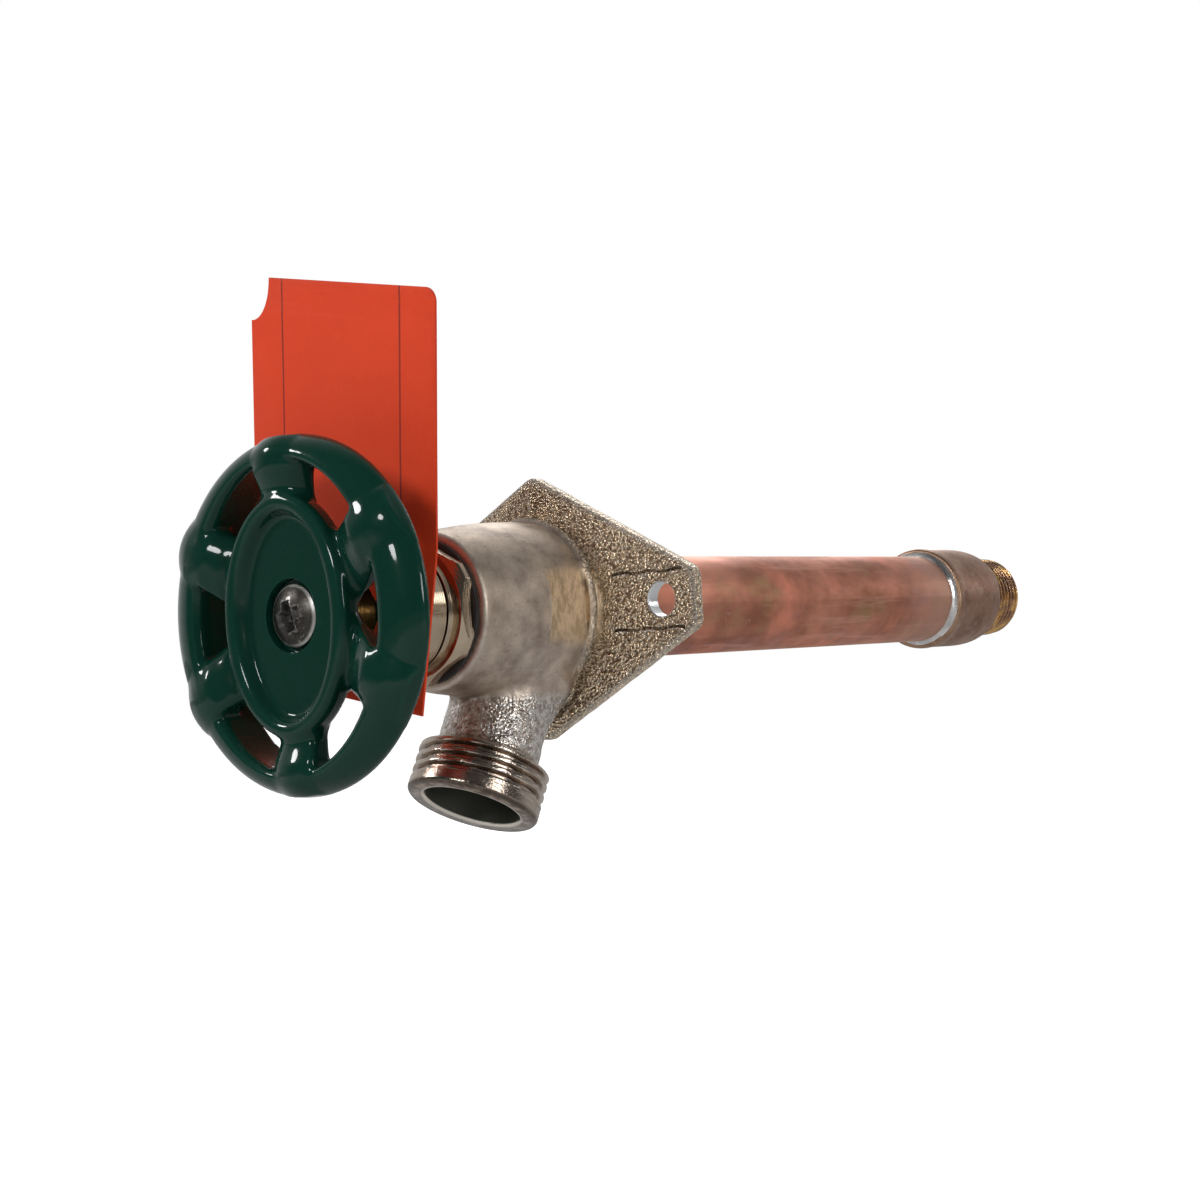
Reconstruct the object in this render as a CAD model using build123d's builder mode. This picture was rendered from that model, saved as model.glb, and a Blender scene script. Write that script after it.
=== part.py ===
from build123d import *
import os
from math import cos, pi, radians, sin, sqrt

# A frost-free wall hydrant: a handwheel and threaded hose nozzle outside the wall, and a long
# copper tube that carries the valve seat to the warm side of the wall.
# Millimetres. The origin is the middle of the flange's wall face, on the tube's axis.
# +Y runs into the wall along the tube, -Y out to the handwheel, +Z is up.

os.makedirs("parts", exist_ok=True)

# Fits and clearances
RUNNING_FIT = 0.08          # radial, round pieces that turn or slide in each other
THREAD_FIT = 0.05           # radial, between a screwed piece and its plain-drawn hole
SOLDER_FIT = 0.04           # radial, tube in a soldered socket
SEAT_GAP = 0.25             # axial, between a valve face and the seat it closes on
TAG_PLAY = 0.15             # axial, each side of the tag
WHEEL_PLAY = 0.05           # each side of the stem's square
LOOSE_FIT = 0.3             # radial, round pieces that only keep clear of each other
PIN_FIT = 0.01              # radial, pins in their drilled holes
STOP_PLAY = 0.35            # axial, left where a moving piece would meet its stop
EDGE_BREAK = 0.4            # corners of small turned pieces
CUT_PAST = 1.0              # how far a cut runs out beyond the material

# Tube and wall
TUBE_OD = 22.225            # hard copper tube, 3/4 inch nominal
TUBE_WALL = 1.14
WALL_REACH = 146.8          # wall face to the mouth of the inlet fitting
BODY_SOCKET_DEPTH = 8.0     # tube held inside the body
CUP_SOCKET_DEPTH = 12.0     # tube held inside the inlet fitting
SOLDER_BEAD = 1.3

# Flange
FLANGE_T = 3.2
FLANGE_APEX = 27.8          # height of the top and bottom corners before rounding
FLANGE_POINT = 52.0         # where the slanted edges would meet at the sides
FLANGE_HALF_W = 41.2        # where the side points are cut off
FLANGE_APEX_ROUND = 3.0
FLANGE_SIDE_ROUND = 3.2
FLANGE_EDGE_ROUND = 0.7
SCREW_SPACING = 66.0
SCREW_HOLE_R = 3.4
SCREW_PAD_H = 11.4          # shallow band through both screw holes
SCREW_PAD_DEPTH = 0.45

# Body barrel
BODY_DEPTH = 36.0           # wall face to the collar face
BARREL_R = 18.0
BARREL_ROOT_R = 20.4
COLLAR_R = 15.7
COLLAR_CHAMFER = 0.8
BARREL_ROOT_RUN = 2.6       # length of the hollow round where barrel meets flange
BARREL_BELLY = 0.8          # how far the cast side swells past a straight taper
BARREL_FLAT = 16.6          # axis to the flat on the right side of the barrel
BARREL_FLAT_REACH = 18.5    # wall face to that flat's front edge
BARREL_FLAT_H = 19.0
BODY_LAND = 1.0             # shoulder that the tube stops against
CAVITY_R = 12.4

# Hose nozzle
NOZZLE_TILT = 28.0          # degrees forward of straight down
NOZZLE_CROSSING = 5.5       # where its axis crosses the tube's, in front of the wall face
NOZZLE_LENGTH = 44.5        # crossing to lip
NOZZLE_NECK_R = 10.4
NOZZLE_ROOT_R = 13.2
NOZZLE_ROOT_SINK = 2.0      # root's wide part, inside the barrel's surface
NOZZLE_FLARE_RUN = 8.0      # length over which the root narrows to the neck
NOZZLE_SHOULDER = 2.0       # plain shoulder behind the thread
NOZZLE_BORE_R = 9.73
NOZZLE_BORE_DEPTH = 18.0
NOZZLE_BORE_CONE = 2.5      # drill point at the bore's end
NOZZLE_MOUTH = 0.5          # chamfer inside the lip
HOSE_THREAD_R = 13.49       # 3/4 inch hose thread
HOSE_THREAD_PITCH = 2.209
HOSE_THREAD_DEPTH = 1.15
HOSE_THREAD_TURNS = 3
HOSE_LIP = 3.2
HOSE_LIP_CHAMFER = 0.8
PASSAGE_R = 5.5
PASSAGE_SETBACK = 15.0      # wall face to the water passage's axis

# Bonnet
GASKET_T = 0.9
GASKET_R = 14.3
HEX_FLATS = 27.0
HEX_T = 3.2
HEX_TURNED_R = 14.7
HEX_CHAMFER = 1.5
HEX_BACK_CHAMFER = 0.3
BONNET_R = 12.2
BONNET_LENGTH = 11.4        # cylinder in front of the hexagon
BONNET_THREAD_R = 11.6
BONNET_THREAD_LENGTH = 11.0
BONNET_EDGE = 0.5           # chamfer on the front edge
BONNET_NOSE_R = 8.3
BONNET_WEB = 1.6
PACKING_R = 7.6
VENT_GROOVE_SETBACK = 1.9   # hexagon's face to the groove
VENT_GROOVE_W = 0.9
VENT_GROOVE_R = 10.0
VENT_HOLE_R = 0.9
VENT_HOLE_CIRCLE_R = 9.5
VENT_HOLES = 6

# Packing and packing nut
PACKING_T = 3.3
PACKING_WASHER_T = 1.1
NUT_FLATS = 17.5
NUT_HEAD_T = 6.0
NUT_CHAMFER_W = 1.3         # taken off the corners' radius
NUT_CHAMFER_H = 0.4
NUT_SHANK = 1.1             # plain shank that presses the washer down

# Tag
TAG_T = 0.5
TAG_W = 50.8
TAG_H = 79.0
TAG_LEFT = 33.8             # hole to left edge, seen from the front
TAG_DOWN = 16.9             # hole to bottom edge
TAG_HOLE_PLAY = 0.4
TAG_LEAN = 11.5             # degrees clockwise, seen from the front
TAG_CORNER_R = 2.6
TAG_NOTCH_W = 5.2
TAG_NOTCH_H = 8.4
TAG_BEND_START = 11.0       # hole to where the card starts to bend forward
TAG_BEND_END = 17.0
TAG_BEND_SLOPE = 0.131      # forward for each millimetre up, beyond the bend

# Stem and operating rod
STEM_THREAD_R = 7.0
STEM_THREAD_LENGTH = 12.0
STEM_THREAD_DEPTH = 1.3
STEM_LEAD = 2.54            # advance for one turn of the handwheel
STEM_TURNS = 2.75           # closed to fully open
STEM_R = 4.75
STEM_SQUARE = 7.0
STEM_TAIL = 8.0             # wall face to the rear end of the stem
STEM_SHORT = 0.4            # square's end behind the handwheel's recess floor
STEM_SPARE = 0.4            # thread left in front of the stem at full opening
ROD_R = 3.5
ROD_SOCKET_DEPTH = 10.0
ROD_END_PLAY = 0.3
ROD_PIN_R = 0.8
ROD_PIN_SHORT = 0.3         # each pin end under the stem's surface
ROD_GUIDE_STATION = 85.0
ROD_GUIDE_T = 6.0
ROD_GUIDE_ARM = 2.4
ROD_GUIDE_RING = 1.4
ROD_GUIDE_PLAY = 0.5        # arms' ends to the tube's bore

# Handwheel
WHEEL_R = 33.6
WHEEL_STATION = 69.4        # wall face to the rim's outermost edge
RIM_W = 6.6                 # outermost edge to the inner wall
RIM_CREST = 4.9             # crest in front of the outermost edge
RIM_CREST_INSET = 5.0       # outermost edge to the crest
RIM_CREST_BULGE = 0.9       # how far the front slope swells past a straight line
RIM_BACK = 3.4              # back face behind the outermost edge
RIM_BACK_INSET = 3.1        # outermost edge to the back face's edge
RIM_LAND = 0.5              # straight part of the outermost edge
SPOKES = 6
SPOKE_W = 12.4
SPOKE_DIP = 2.6             # lowest part of a spoke's back, in front of the outermost edge
SPOKE_CREST = 5.6           # highest part, where it crosses the rim
SPOKE_ROOT_R = 15.0
SPOKE_ROUND = 2.8
SPOKE_WAIST = 0.8           # narrowing half way along
SPOKE_PROUD = 0.3           # lug beyond the rim
HUB_HALF_W = 18.5           # oval hub, across
HUB_HALF_H = 22.6           # and up and down
HUB_FRONT = 3.6             # hub's front in front of the rim's outermost edge
HUB_T = 4.6
HUB_ROUND = 1.8
DISH_HALF_W = 13.1          # oval dish in the hub's front
DISH_HALF_H = 19.4
DISH_DEPTH = 2.0
RECESS_R = 6.6
RECESS_DEPTH = 1.9
BOSS_R = 8.6
BOSS_T = 5.1

# Handle screw and its lock washer
HANDLE_SCREW_R = 2.4
HANDLE_SCREW_LENGTH = 9.0
HANDLE_SCREW_HEAD_R = 5.9
HANDLE_SCREW_HEAD_H = 2.3
HANDLE_SCREW_HEAD_EDGE = 0.5
HANDLE_SCREW_DOME = 0.5    # dome's drop at its shoulder
HANDLE_SCREW_SPARE = 1.0    # drilled hole beyond the screw's end
LOCK_WASHER_T = 0.9
LOCK_WASHER_R = 4.9
LOCK_WASHER_SPLIT = 0.8
LOCK_WASHER_PLAY = 0.2
DRIVE_W = 1.1
DRIVE_SPAN = 5.2
DRIVE_DEPTH = 1.3

# Inlet fitting and valve seat
CUP_R = 13.13
CUP_LENGTH = 17.0
CUP_EDGE = 0.6
CUP_SHOULDER = 1.6
PIPE_THREAD_LENGTH = 18.6
PIPE_THREAD_END_R = 10.35
PIPE_THREAD_TAPER = 1 / 32  # radius gained for each millimetre along the thread
PIPE_THREAD_PITCH = 1.814
PIPE_THREAD_DEPTH = 1.1
PIPE_THREAD_LEAD_IN = 0.6   # chamfer at the pipe end
PIPE_THREAD_RUN_OUT = 0.9   # least plain length behind the thread
INLET_SOCKET_R = 7.98       # takes 5/8 inch outside diameter copper tube
INLET_SOCKET_DEPTH = 12.7
ORIFICE_R = 4.8
SEAT_LAND_W = 1.5
SEAT_LAND_H = 1.6
SEAT_LAND_SLOPE = 0.6

# Washer holder at the rod's far end
HOLDER_R = 8.0
HOLDER_LENGTH = 10.6
HOLDER_FIN_R = 9.75
HOLDER_FIN_W = 2.2
HOLDER_FINS = 4
HOLDER_BORE_DEPTH = 7.4
HOLDER_NOSE_R = 5.8
HOLDER_NOSE_RUN = 2.0
HOLDER_NECK_R = 7.0
HOLDER_SKIRT = 1.0          # straight part in front of the rim
SEAT_WASHER_R = 7.3
SEAT_WASHER_T = 3.6
HOLDER_RIM = 1.6            # holder's rim round the washer
WASHER_SCREW_R = 1.9
WASHER_SCREW_HEAD_R = 3.4
WASHER_SCREW_HEAD_H = 1.4
WASHER_SCREW_LENGTH = 6.0
WASHER_SCREW_SLOT_W = 0.9
WASHER_SCREW_SLOT_H = 0.7
WASHER_SCREW_HOLE_IN = 1.0  # drilled on past the rod bore's floor
SWIVEL_PIN_R = 0.8
SWIVEL_PIN_X = 3.2          # each pin beside the rod's axis
SWIVEL_PIN_SHORT = 2.0      # pin end under the holder's surface
SWIVEL_GROOVE_R = 2.2
SWIVEL_SETBACK = 4.2        # holder's front face to the swivel pins

# Check valve in the tube's front end
CHECK_SEAT_STATION = 22.0
CHECK_SEAT_T = 5.0
CHECK_ORIFICE_R = 6.2
CHECK_LAND_H = 1.0
CHECK_LAND_W = 1.0
CHECK_ORIFICE_EDGE = 0.8
CHECK_POPPET_R = 8.4
CHECK_POPPET_T = 3.4
CHECK_POPPET_EDGE = 1.0
CHECK_HUB_R = 4.9
CHECK_TRAVEL = 3.0
CHECK_SEAL_IN_R = 5.4
CHECK_SEAL_OUT_R = 7.9
CHECK_SEAL_T = 1.4
CHECK_GUIDE_T = 3.0
CHECK_GUIDE_STATION = 3.0
CHECK_GUIDE_HOLE_R = 1.9
CHECK_GUIDE_CIRCLE_R = 7.2
CHECK_GUIDE_HOLES = 6
SPRING_WIRE_R = 0.4
SPRING_R = 5.9
SPRING_TURNS = 5

# Vacuum breaker behind the bonnet
VENT_DISC_T = 1.4
VENT_DISC_R = 11.2
VENT_TRAVEL = 1.5
VENT_CLIP_T = 0.7
VENT_CLIP_R = 9.4
VENT_CLIP_GROOVE = 0.5
VENT_CLIP_MOUTH = 8.3       # width of the clip's open side

# Stations along the tube's axis, worked out from the sizes above
tube_r = TUBE_OD / 2
tube_bore_r = tube_r - TUBE_WALL
tube_front = -BODY_SOCKET_DEPTH
tube_end = WALL_REACH + CUP_SOCKET_DEPTH
cup_end = WALL_REACH + CUP_LENGTH
inlet_end = cup_end + PIPE_THREAD_LENGTH
seat_y = tube_end - SEAT_LAND_H

collar_y = -BODY_DEPTH
hex_back = BODY_DEPTH + GASKET_T
hex_front = hex_back + HEX_T
bonnet_front = hex_front + BONNET_LENGTH
bonnet_rear = hex_back - BONNET_THREAD_LENGTH
nose_rear = bonnet_rear - VENT_TRAVEL - VENT_DISC_T - 2 * VENT_CLIP_T
packing_floor = bonnet_front - PACKING_T - PACKING_WASHER_T - NUT_SHANK
packing_top = packing_floor + PACKING_T
washer_top = packing_top + PACKING_WASHER_T
thread_roof = packing_floor - BONNET_WEB
stem_travel = STEM_LEAD * STEM_TURNS
tag_back = bonnet_front + TAG_PLAY
nut_back = tag_back + TAG_T + TAG_PLAY
nut_front = nut_back + NUT_HEAD_T

hub_front = WHEEL_STATION + HUB_FRONT
dish_floor = hub_front - DISH_DEPTH
recess_floor = dish_floor - RECESS_DEPTH
hub_back = hub_front - HUB_T - BOSS_T
stem_shoulder = hub_back
stem_front = recess_floor - STEM_SHORT
stem_thread_front = thread_roof - stem_travel - STEM_SPARE
stem_thread_rear = stem_thread_front - STEM_THREAD_LENGTH

washer_rear = seat_y - SEAT_GAP
washer_front = washer_rear - SEAT_WASHER_T
holder_front = washer_front - HOLDER_LENGTH
holder_rim_end = washer_front + HOLDER_RIM
rod_end = holder_front + HOLDER_BORE_DEPTH - ROD_END_PLAY
rod_front = -STEM_TAIL - ROD_SOCKET_DEPTH
swivel_y = holder_front + SWIVEL_SETBACK

nozzle_way = Vector(0, -sin(radians(NOZZLE_TILT)), -cos(radians(NOZZLE_TILT)))
nozzle_origin = Vector(0, -NOZZLE_CROSSING, 0)
nozzle_lip = nozzle_origin + nozzle_way * NOZZLE_LENGTH
nozzle_axis = Axis(nozzle_origin, nozzle_way)
nozzle_plane = Plane(origin=nozzle_origin, x_dir=(1, 0, 0),
                     z_dir=(0, cos(radians(NOZZLE_TILT)), -sin(radians(NOZZLE_TILT))))


def turned(outline, mode=Mode.ADD, plane=Plane.XY, axis=Axis.Y):
    """Turn a closed outline of (radius, station) points about the axis of the part being made."""
    with BuildSketch(plane) as profile:
        with BuildLine():
            Polyline(*outline, close=True)
        make_face()
    revolve(profile.sketch, axis=axis, mode=mode)


def ring(inner_r, outer_r, near, far, mode=Mode.ADD):
    """Turn a plain ring, or a disc where the inner radius is 0."""
    turned([(inner_r, near), (outer_r, near), (outer_r, far), (inner_r, far)], mode)


def thread_grooves(start, end, turns, start_crest, end_crest, depth):
    """Outline points of a thread drawn as grooves, with flat crests and roots."""
    pitch = (end - start) / turns
    shape = ((0.12, 0), (0.42, depth), (0.62, depth), (0.92, 0))
    points = []
    for turn in range(turns):
        for share, sunk in shape:
            along = (turn + share) / turns
            crest = start_crest + (end_crest - start_crest) * along
            points.append((crest - sunk, start + pitch * (turn + share)))
    return points


def write(name, piece):
    """Label a finished piece and write it under its name."""
    piece.label = name
    export_step(piece, f"parts/{name}.step")


# Body: flange, barrel and nozzle cast in one
side_h = FLANGE_APEX * (1 - FLANGE_HALF_W / FLANGE_POINT)
flange_outline = [(0, FLANGE_APEX), (FLANGE_HALF_W, side_h), (FLANGE_HALF_W, -side_h),
                  (0, -FLANGE_APEX), (-FLANGE_HALF_W, -side_h), (-FLANGE_HALF_W, side_h)]
hose_thread_end = NOZZLE_LENGTH - HOSE_LIP
hose_thread_start = hose_thread_end - HOSE_THREAD_TURNS * HOSE_THREAD_PITCH
bore_floor = NOZZLE_LENGTH - NOZZLE_BORE_DEPTH
with BuildPart() as body_casting:
    with BuildSketch(Plane.XZ) as flange_face:
        with BuildLine():
            Polyline(*flange_outline, close=True)
        make_face()
        fillet(flange_face.vertices().group_by(Axis.X)[0], FLANGE_SIDE_ROUND)
        fillet(flange_face.vertices().group_by(Axis.X)[-1], FLANGE_SIDE_ROUND)
        fillet(flange_face.vertices().group_by(Axis.Y)[0], FLANGE_APEX_ROUND)
        fillet(flange_face.vertices().group_by(Axis.Y)[-1], FLANGE_APEX_ROUND)
    extrude(amount=FLANGE_T)
    fillet(body_casting.faces().sort_by(Axis.Y)[0].edges(), FLANGE_EDGE_ROUND)
    with BuildSketch(Plane.XZ.offset(FLANGE_T)):
        Rectangle(2 * (FLANGE_HALF_W + CUT_PAST), SCREW_PAD_H)
    extrude(amount=-SCREW_PAD_DEPTH, mode=Mode.SUBTRACT)
    with BuildSketch(Plane.XY) as barrel:
        with BuildLine():
            Polyline((0, collar_y), (COLLAR_R - COLLAR_CHAMFER, collar_y),
                     (COLLAR_R, collar_y + COLLAR_CHAMFER))
            ThreePointArc((COLLAR_R, collar_y + COLLAR_CHAMFER),
                          ((COLLAR_R + BARREL_R) / 2 + BARREL_BELLY, (collar_y - FLANGE_T) / 2),
                          (BARREL_R, -FLANGE_T - BARREL_ROOT_RUN))
            ThreePointArc((BARREL_R, -FLANGE_T - BARREL_ROOT_RUN),
                          (BARREL_R + 0.3 * (BARREL_ROOT_R - BARREL_R), -FLANGE_T - 0.3 * BARREL_ROOT_RUN),
                          (BARREL_ROOT_R, -FLANGE_T))
            Polyline((BARREL_ROOT_R, -FLANGE_T), (BARREL_ROOT_R, -FLANGE_T / 2), (0, -FLANGE_T / 2),
                     (0, collar_y))
        make_face()
    revolve(axis=Axis.Y)
    with BuildSketch(Plane.YZ.offset(BARREL_FLAT)):
        with Locations((-(BARREL_FLAT_REACH + FLANGE_T) / 2, 0)):
            Rectangle(BARREL_FLAT_REACH - FLANGE_T, BARREL_FLAT_H)
    extrude(amount=BARREL_ROOT_R, mode=Mode.SUBTRACT)
    turned([(0, NOZZLE_NECK_R), (NOZZLE_ROOT_R, NOZZLE_NECK_R),
            (NOZZLE_ROOT_R, BARREL_R - NOZZLE_ROOT_SINK),
            ((NOZZLE_ROOT_R + 4 * NOZZLE_NECK_R) / 5, BARREL_R + NOZZLE_FLARE_RUN / 2),
            (NOZZLE_NECK_R, BARREL_R + NOZZLE_FLARE_RUN),
            (NOZZLE_NECK_R, hose_thread_start - NOZZLE_SHOULDER), (HOSE_THREAD_R, hose_thread_start)]
           + thread_grooves(hose_thread_start, hose_thread_end, HOSE_THREAD_TURNS,
                            HOSE_THREAD_R, HOSE_THREAD_R, HOSE_THREAD_DEPTH)
           + [(HOSE_THREAD_R, NOZZLE_LENGTH - HOSE_LIP_CHAMFER),
              (HOSE_THREAD_R - HOSE_LIP_CHAMFER, NOZZLE_LENGTH), (0, NOZZLE_LENGTH)],
           plane=nozzle_plane, axis=nozzle_axis)
    with BuildSketch(Plane.XZ):
        Rectangle(2 * FLANGE_HALF_W, 2 * FLANGE_APEX)
    extrude(amount=-NOZZLE_ROOT_R, mode=Mode.SUBTRACT)
    turned([(0, NOZZLE_LENGTH), (NOZZLE_BORE_R + NOZZLE_MOUTH, NOZZLE_LENGTH),
            (NOZZLE_BORE_R, NOZZLE_LENGTH - NOZZLE_MOUTH), (NOZZLE_BORE_R, bore_floor),
            (PASSAGE_R, bore_floor - NOZZLE_BORE_CONE), (0, bore_floor - NOZZLE_BORE_CONE)],
           Mode.SUBTRACT, nozzle_plane, nozzle_axis)
    with BuildSketch(Plane.XY):
        with Locations((0, -PASSAGE_SETBACK)):
            Circle(PASSAGE_R)
    extrude(amount=-bore_floor * cos(radians(NOZZLE_TILT)) - CUT_PAST, mode=Mode.SUBTRACT)
    turned([(0, 0), (tube_r + SOLDER_BEAD + SOLDER_FIT, 0), (tube_r + SOLDER_FIT, -SOLDER_BEAD),
            (tube_r + SOLDER_FIT, tube_front), (tube_bore_r, tube_front),
            (tube_bore_r, tube_front - BODY_LAND), (CAVITY_R, tube_front - BODY_LAND),
            (CAVITY_R, -bonnet_rear), (BONNET_THREAD_R + THREAD_FIT, -bonnet_rear),
            (BONNET_THREAD_R + THREAD_FIT, collar_y), (0, collar_y)], Mode.SUBTRACT)
    with BuildSketch(Plane.XZ):
        with GridLocations(SCREW_SPACING, SCREW_SPACING, 2, 1):
            Circle(SCREW_HOLE_R)
    extrude(amount=FLANGE_T, mode=Mode.SUBTRACT)
write("body_casting", body_casting.part)

# Tube and the fitting soldered on its far end
with BuildPart() as tube:
    ring(tube_bore_r, tube_r, tube_front, tube_end)
write("tube", tube.part)

pipe_turns = int((PIPE_THREAD_LENGTH - PIPE_THREAD_LEAD_IN - PIPE_THREAD_RUN_OUT) / PIPE_THREAD_PITCH)
pipe_thread_start = inlet_end - PIPE_THREAD_LEAD_IN - pipe_turns * PIPE_THREAD_PITCH
pipe_start_r = PIPE_THREAD_END_R + pipe_turns * PIPE_THREAD_PITCH * PIPE_THREAD_TAPER
with BuildPart() as inlet_fitting:
    turned([(tube_r + SOLDER_FIT, WALL_REACH), (CUP_R - CUP_EDGE, WALL_REACH),
            (CUP_R, WALL_REACH + CUP_EDGE), (CUP_R, cup_end - CUP_SHOULDER),
            (CUP_R - CUP_SHOULDER, cup_end), (pipe_start_r, cup_end)]
           + thread_grooves(pipe_thread_start, inlet_end - PIPE_THREAD_LEAD_IN, pipe_turns,
                            pipe_start_r, PIPE_THREAD_END_R, PIPE_THREAD_DEPTH)
           + [(PIPE_THREAD_END_R - PIPE_THREAD_LEAD_IN, inlet_end), (INLET_SOCKET_R, inlet_end),
              (INLET_SOCKET_R, inlet_end - INLET_SOCKET_DEPTH), (ORIFICE_R, inlet_end - INLET_SOCKET_DEPTH),
              (ORIFICE_R, seat_y), (ORIFICE_R + SEAT_LAND_W, seat_y),
              (ORIFICE_R + SEAT_LAND_W + SEAT_LAND_SLOPE, tube_end), (tube_r + SOLDER_FIT, tube_end)])
write("inlet_fitting", inlet_fitting.part)

# Solder: a fill in the body's countersink, level with the wall face, and a hollow fillet at the cup
with BuildPart() as front_solder:
    turned([(tube_r, 0), (tube_r + SOLDER_BEAD, 0), (tube_r, -SOLDER_BEAD)])
write("front_solder", front_solder.part)

with BuildPart() as rear_solder:
    turned([(tube_r, WALL_REACH), (tube_r + SOLDER_BEAD, WALL_REACH),
            (tube_r + 0.35 * SOLDER_BEAD, WALL_REACH - 0.35 * SOLDER_BEAD),
            (tube_r, WALL_REACH - SOLDER_BEAD)])
write("rear_solder", rear_solder.part)

# Bonnet, screwed into the body over its gasket
with BuildPart() as bonnet_gasket:
    ring(BONNET_THREAD_R + THREAD_FIT, GASKET_R, collar_y, -hex_back)
write("bonnet_gasket", bonnet_gasket.part)

with BuildPart() as bonnet:
    with BuildSketch(Plane.XZ.offset(hex_back)):
        RegularPolygon(HEX_FLATS / 2, 6, major_radius=False)
    extrude(amount=HEX_T)
    turned([(0, -hex_back), (HEX_TURNED_R - HEX_BACK_CHAMFER, -hex_back),
            (HEX_TURNED_R, -hex_back - HEX_BACK_CHAMFER),
            (HEX_TURNED_R, -hex_front + HEX_CHAMFER), (HEX_TURNED_R - HEX_CHAMFER, -hex_front),
            (0, -hex_front)], Mode.INTERSECT)
    turned([(0, -nose_rear), (BONNET_NOSE_R, -nose_rear), (BONNET_NOSE_R, -bonnet_rear),
            (BONNET_THREAD_R, -bonnet_rear), (BONNET_THREAD_R, -hex_back - HEX_T / 2),
            (BONNET_R, -hex_back - HEX_T / 2),
            (BONNET_R, -hex_front - VENT_GROOVE_SETBACK),
            (VENT_GROOVE_R, -hex_front - VENT_GROOVE_SETBACK),
            (VENT_GROOVE_R, -hex_front - VENT_GROOVE_SETBACK - VENT_GROOVE_W),
            (BONNET_R, -hex_front - VENT_GROOVE_SETBACK - VENT_GROOVE_W),
            (BONNET_R, -bonnet_front + BONNET_EDGE), (BONNET_R - BONNET_EDGE, -bonnet_front),
            (0, -bonnet_front)])
    turned([(0, -nose_rear), (STEM_THREAD_R + RUNNING_FIT, -nose_rear),
            (STEM_THREAD_R + RUNNING_FIT, -thread_roof), (STEM_R + RUNNING_FIT, -thread_roof),
            (STEM_R + RUNNING_FIT, -packing_floor), (PACKING_R, -packing_floor),
            (PACKING_R, -bonnet_front), (0, -bonnet_front)], Mode.SUBTRACT)
    ring(BONNET_NOSE_R - VENT_CLIP_GROOVE, BONNET_NOSE_R, -nose_rear - VENT_CLIP_T,
         -nose_rear - 2 * VENT_CLIP_T, Mode.SUBTRACT)
    with BuildSketch(Plane.XZ.offset(bonnet_rear)):
        with PolarLocations(VENT_HOLE_CIRCLE_R, VENT_HOLES):
            Circle(VENT_HOLE_R)
    extrude(amount=hex_front + VENT_GROOVE_SETBACK + VENT_GROOVE_W / 2 - bonnet_rear, mode=Mode.SUBTRACT)
write("bonnet", bonnet.part)

# Vacuum breaker: a loose rubber ring on the bonnet's nose, kept on by a spring clip
clip_near = -nose_rear - VENT_CLIP_T
with BuildPart() as vent_clip:
    ring(BONNET_NOSE_R - VENT_CLIP_GROOVE, VENT_CLIP_R, clip_near, clip_near - VENT_CLIP_T)
    with BuildSketch(Plane.XZ.offset(-clip_near)):
        with Locations((0, -VENT_CLIP_R)):
            Rectangle(VENT_CLIP_MOUTH, 2 * (VENT_CLIP_R - BONNET_NOSE_R + VENT_CLIP_GROOVE + CUT_PAST))
    extrude(amount=VENT_CLIP_T, mode=Mode.SUBTRACT)
write("vent_clip", vent_clip.part)

vent_disc_rear = clip_near - VENT_CLIP_T
with BuildPart() as vent_disc:
    ring(BONNET_NOSE_R + LOOSE_FIT, VENT_DISC_R, vent_disc_rear, vent_disc_rear - VENT_DISC_T)
write("vent_disc", vent_disc.part)

# Stem packing, its washer and the nut that squeezes them
with BuildPart() as stem_packing:
    ring(STEM_R + RUNNING_FIT, PACKING_R - THREAD_FIT, -packing_floor, -packing_top)
write("stem_packing", stem_packing.part)

with BuildPart() as packing_washer:
    ring(STEM_R + LOOSE_FIT, PACKING_R - THREAD_FIT, -packing_top, -washer_top)
write("packing_washer", packing_washer.part)

with BuildPart() as packing_nut:
    with BuildSketch(Plane.XZ.offset(nut_back)):
        RegularPolygon(NUT_FLATS / 2, 6, major_radius=False)
    extrude(amount=NUT_HEAD_T)
    nut_corner_r = NUT_FLATS / sqrt(3)
    turned([(0, -nut_back), (nut_corner_r, -nut_back), (nut_corner_r, -nut_front + NUT_CHAMFER_H),
            (nut_corner_r - NUT_CHAMFER_W, -nut_front), (0, -nut_front)], Mode.INTERSECT)
    ring(0, PACKING_R - THREAD_FIT, -washer_top, -nut_back)
    ring(0, STEM_R + LOOSE_FIT, -washer_top, -nut_front, Mode.SUBTRACT)
write("packing_nut", packing_nut.part)

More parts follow.
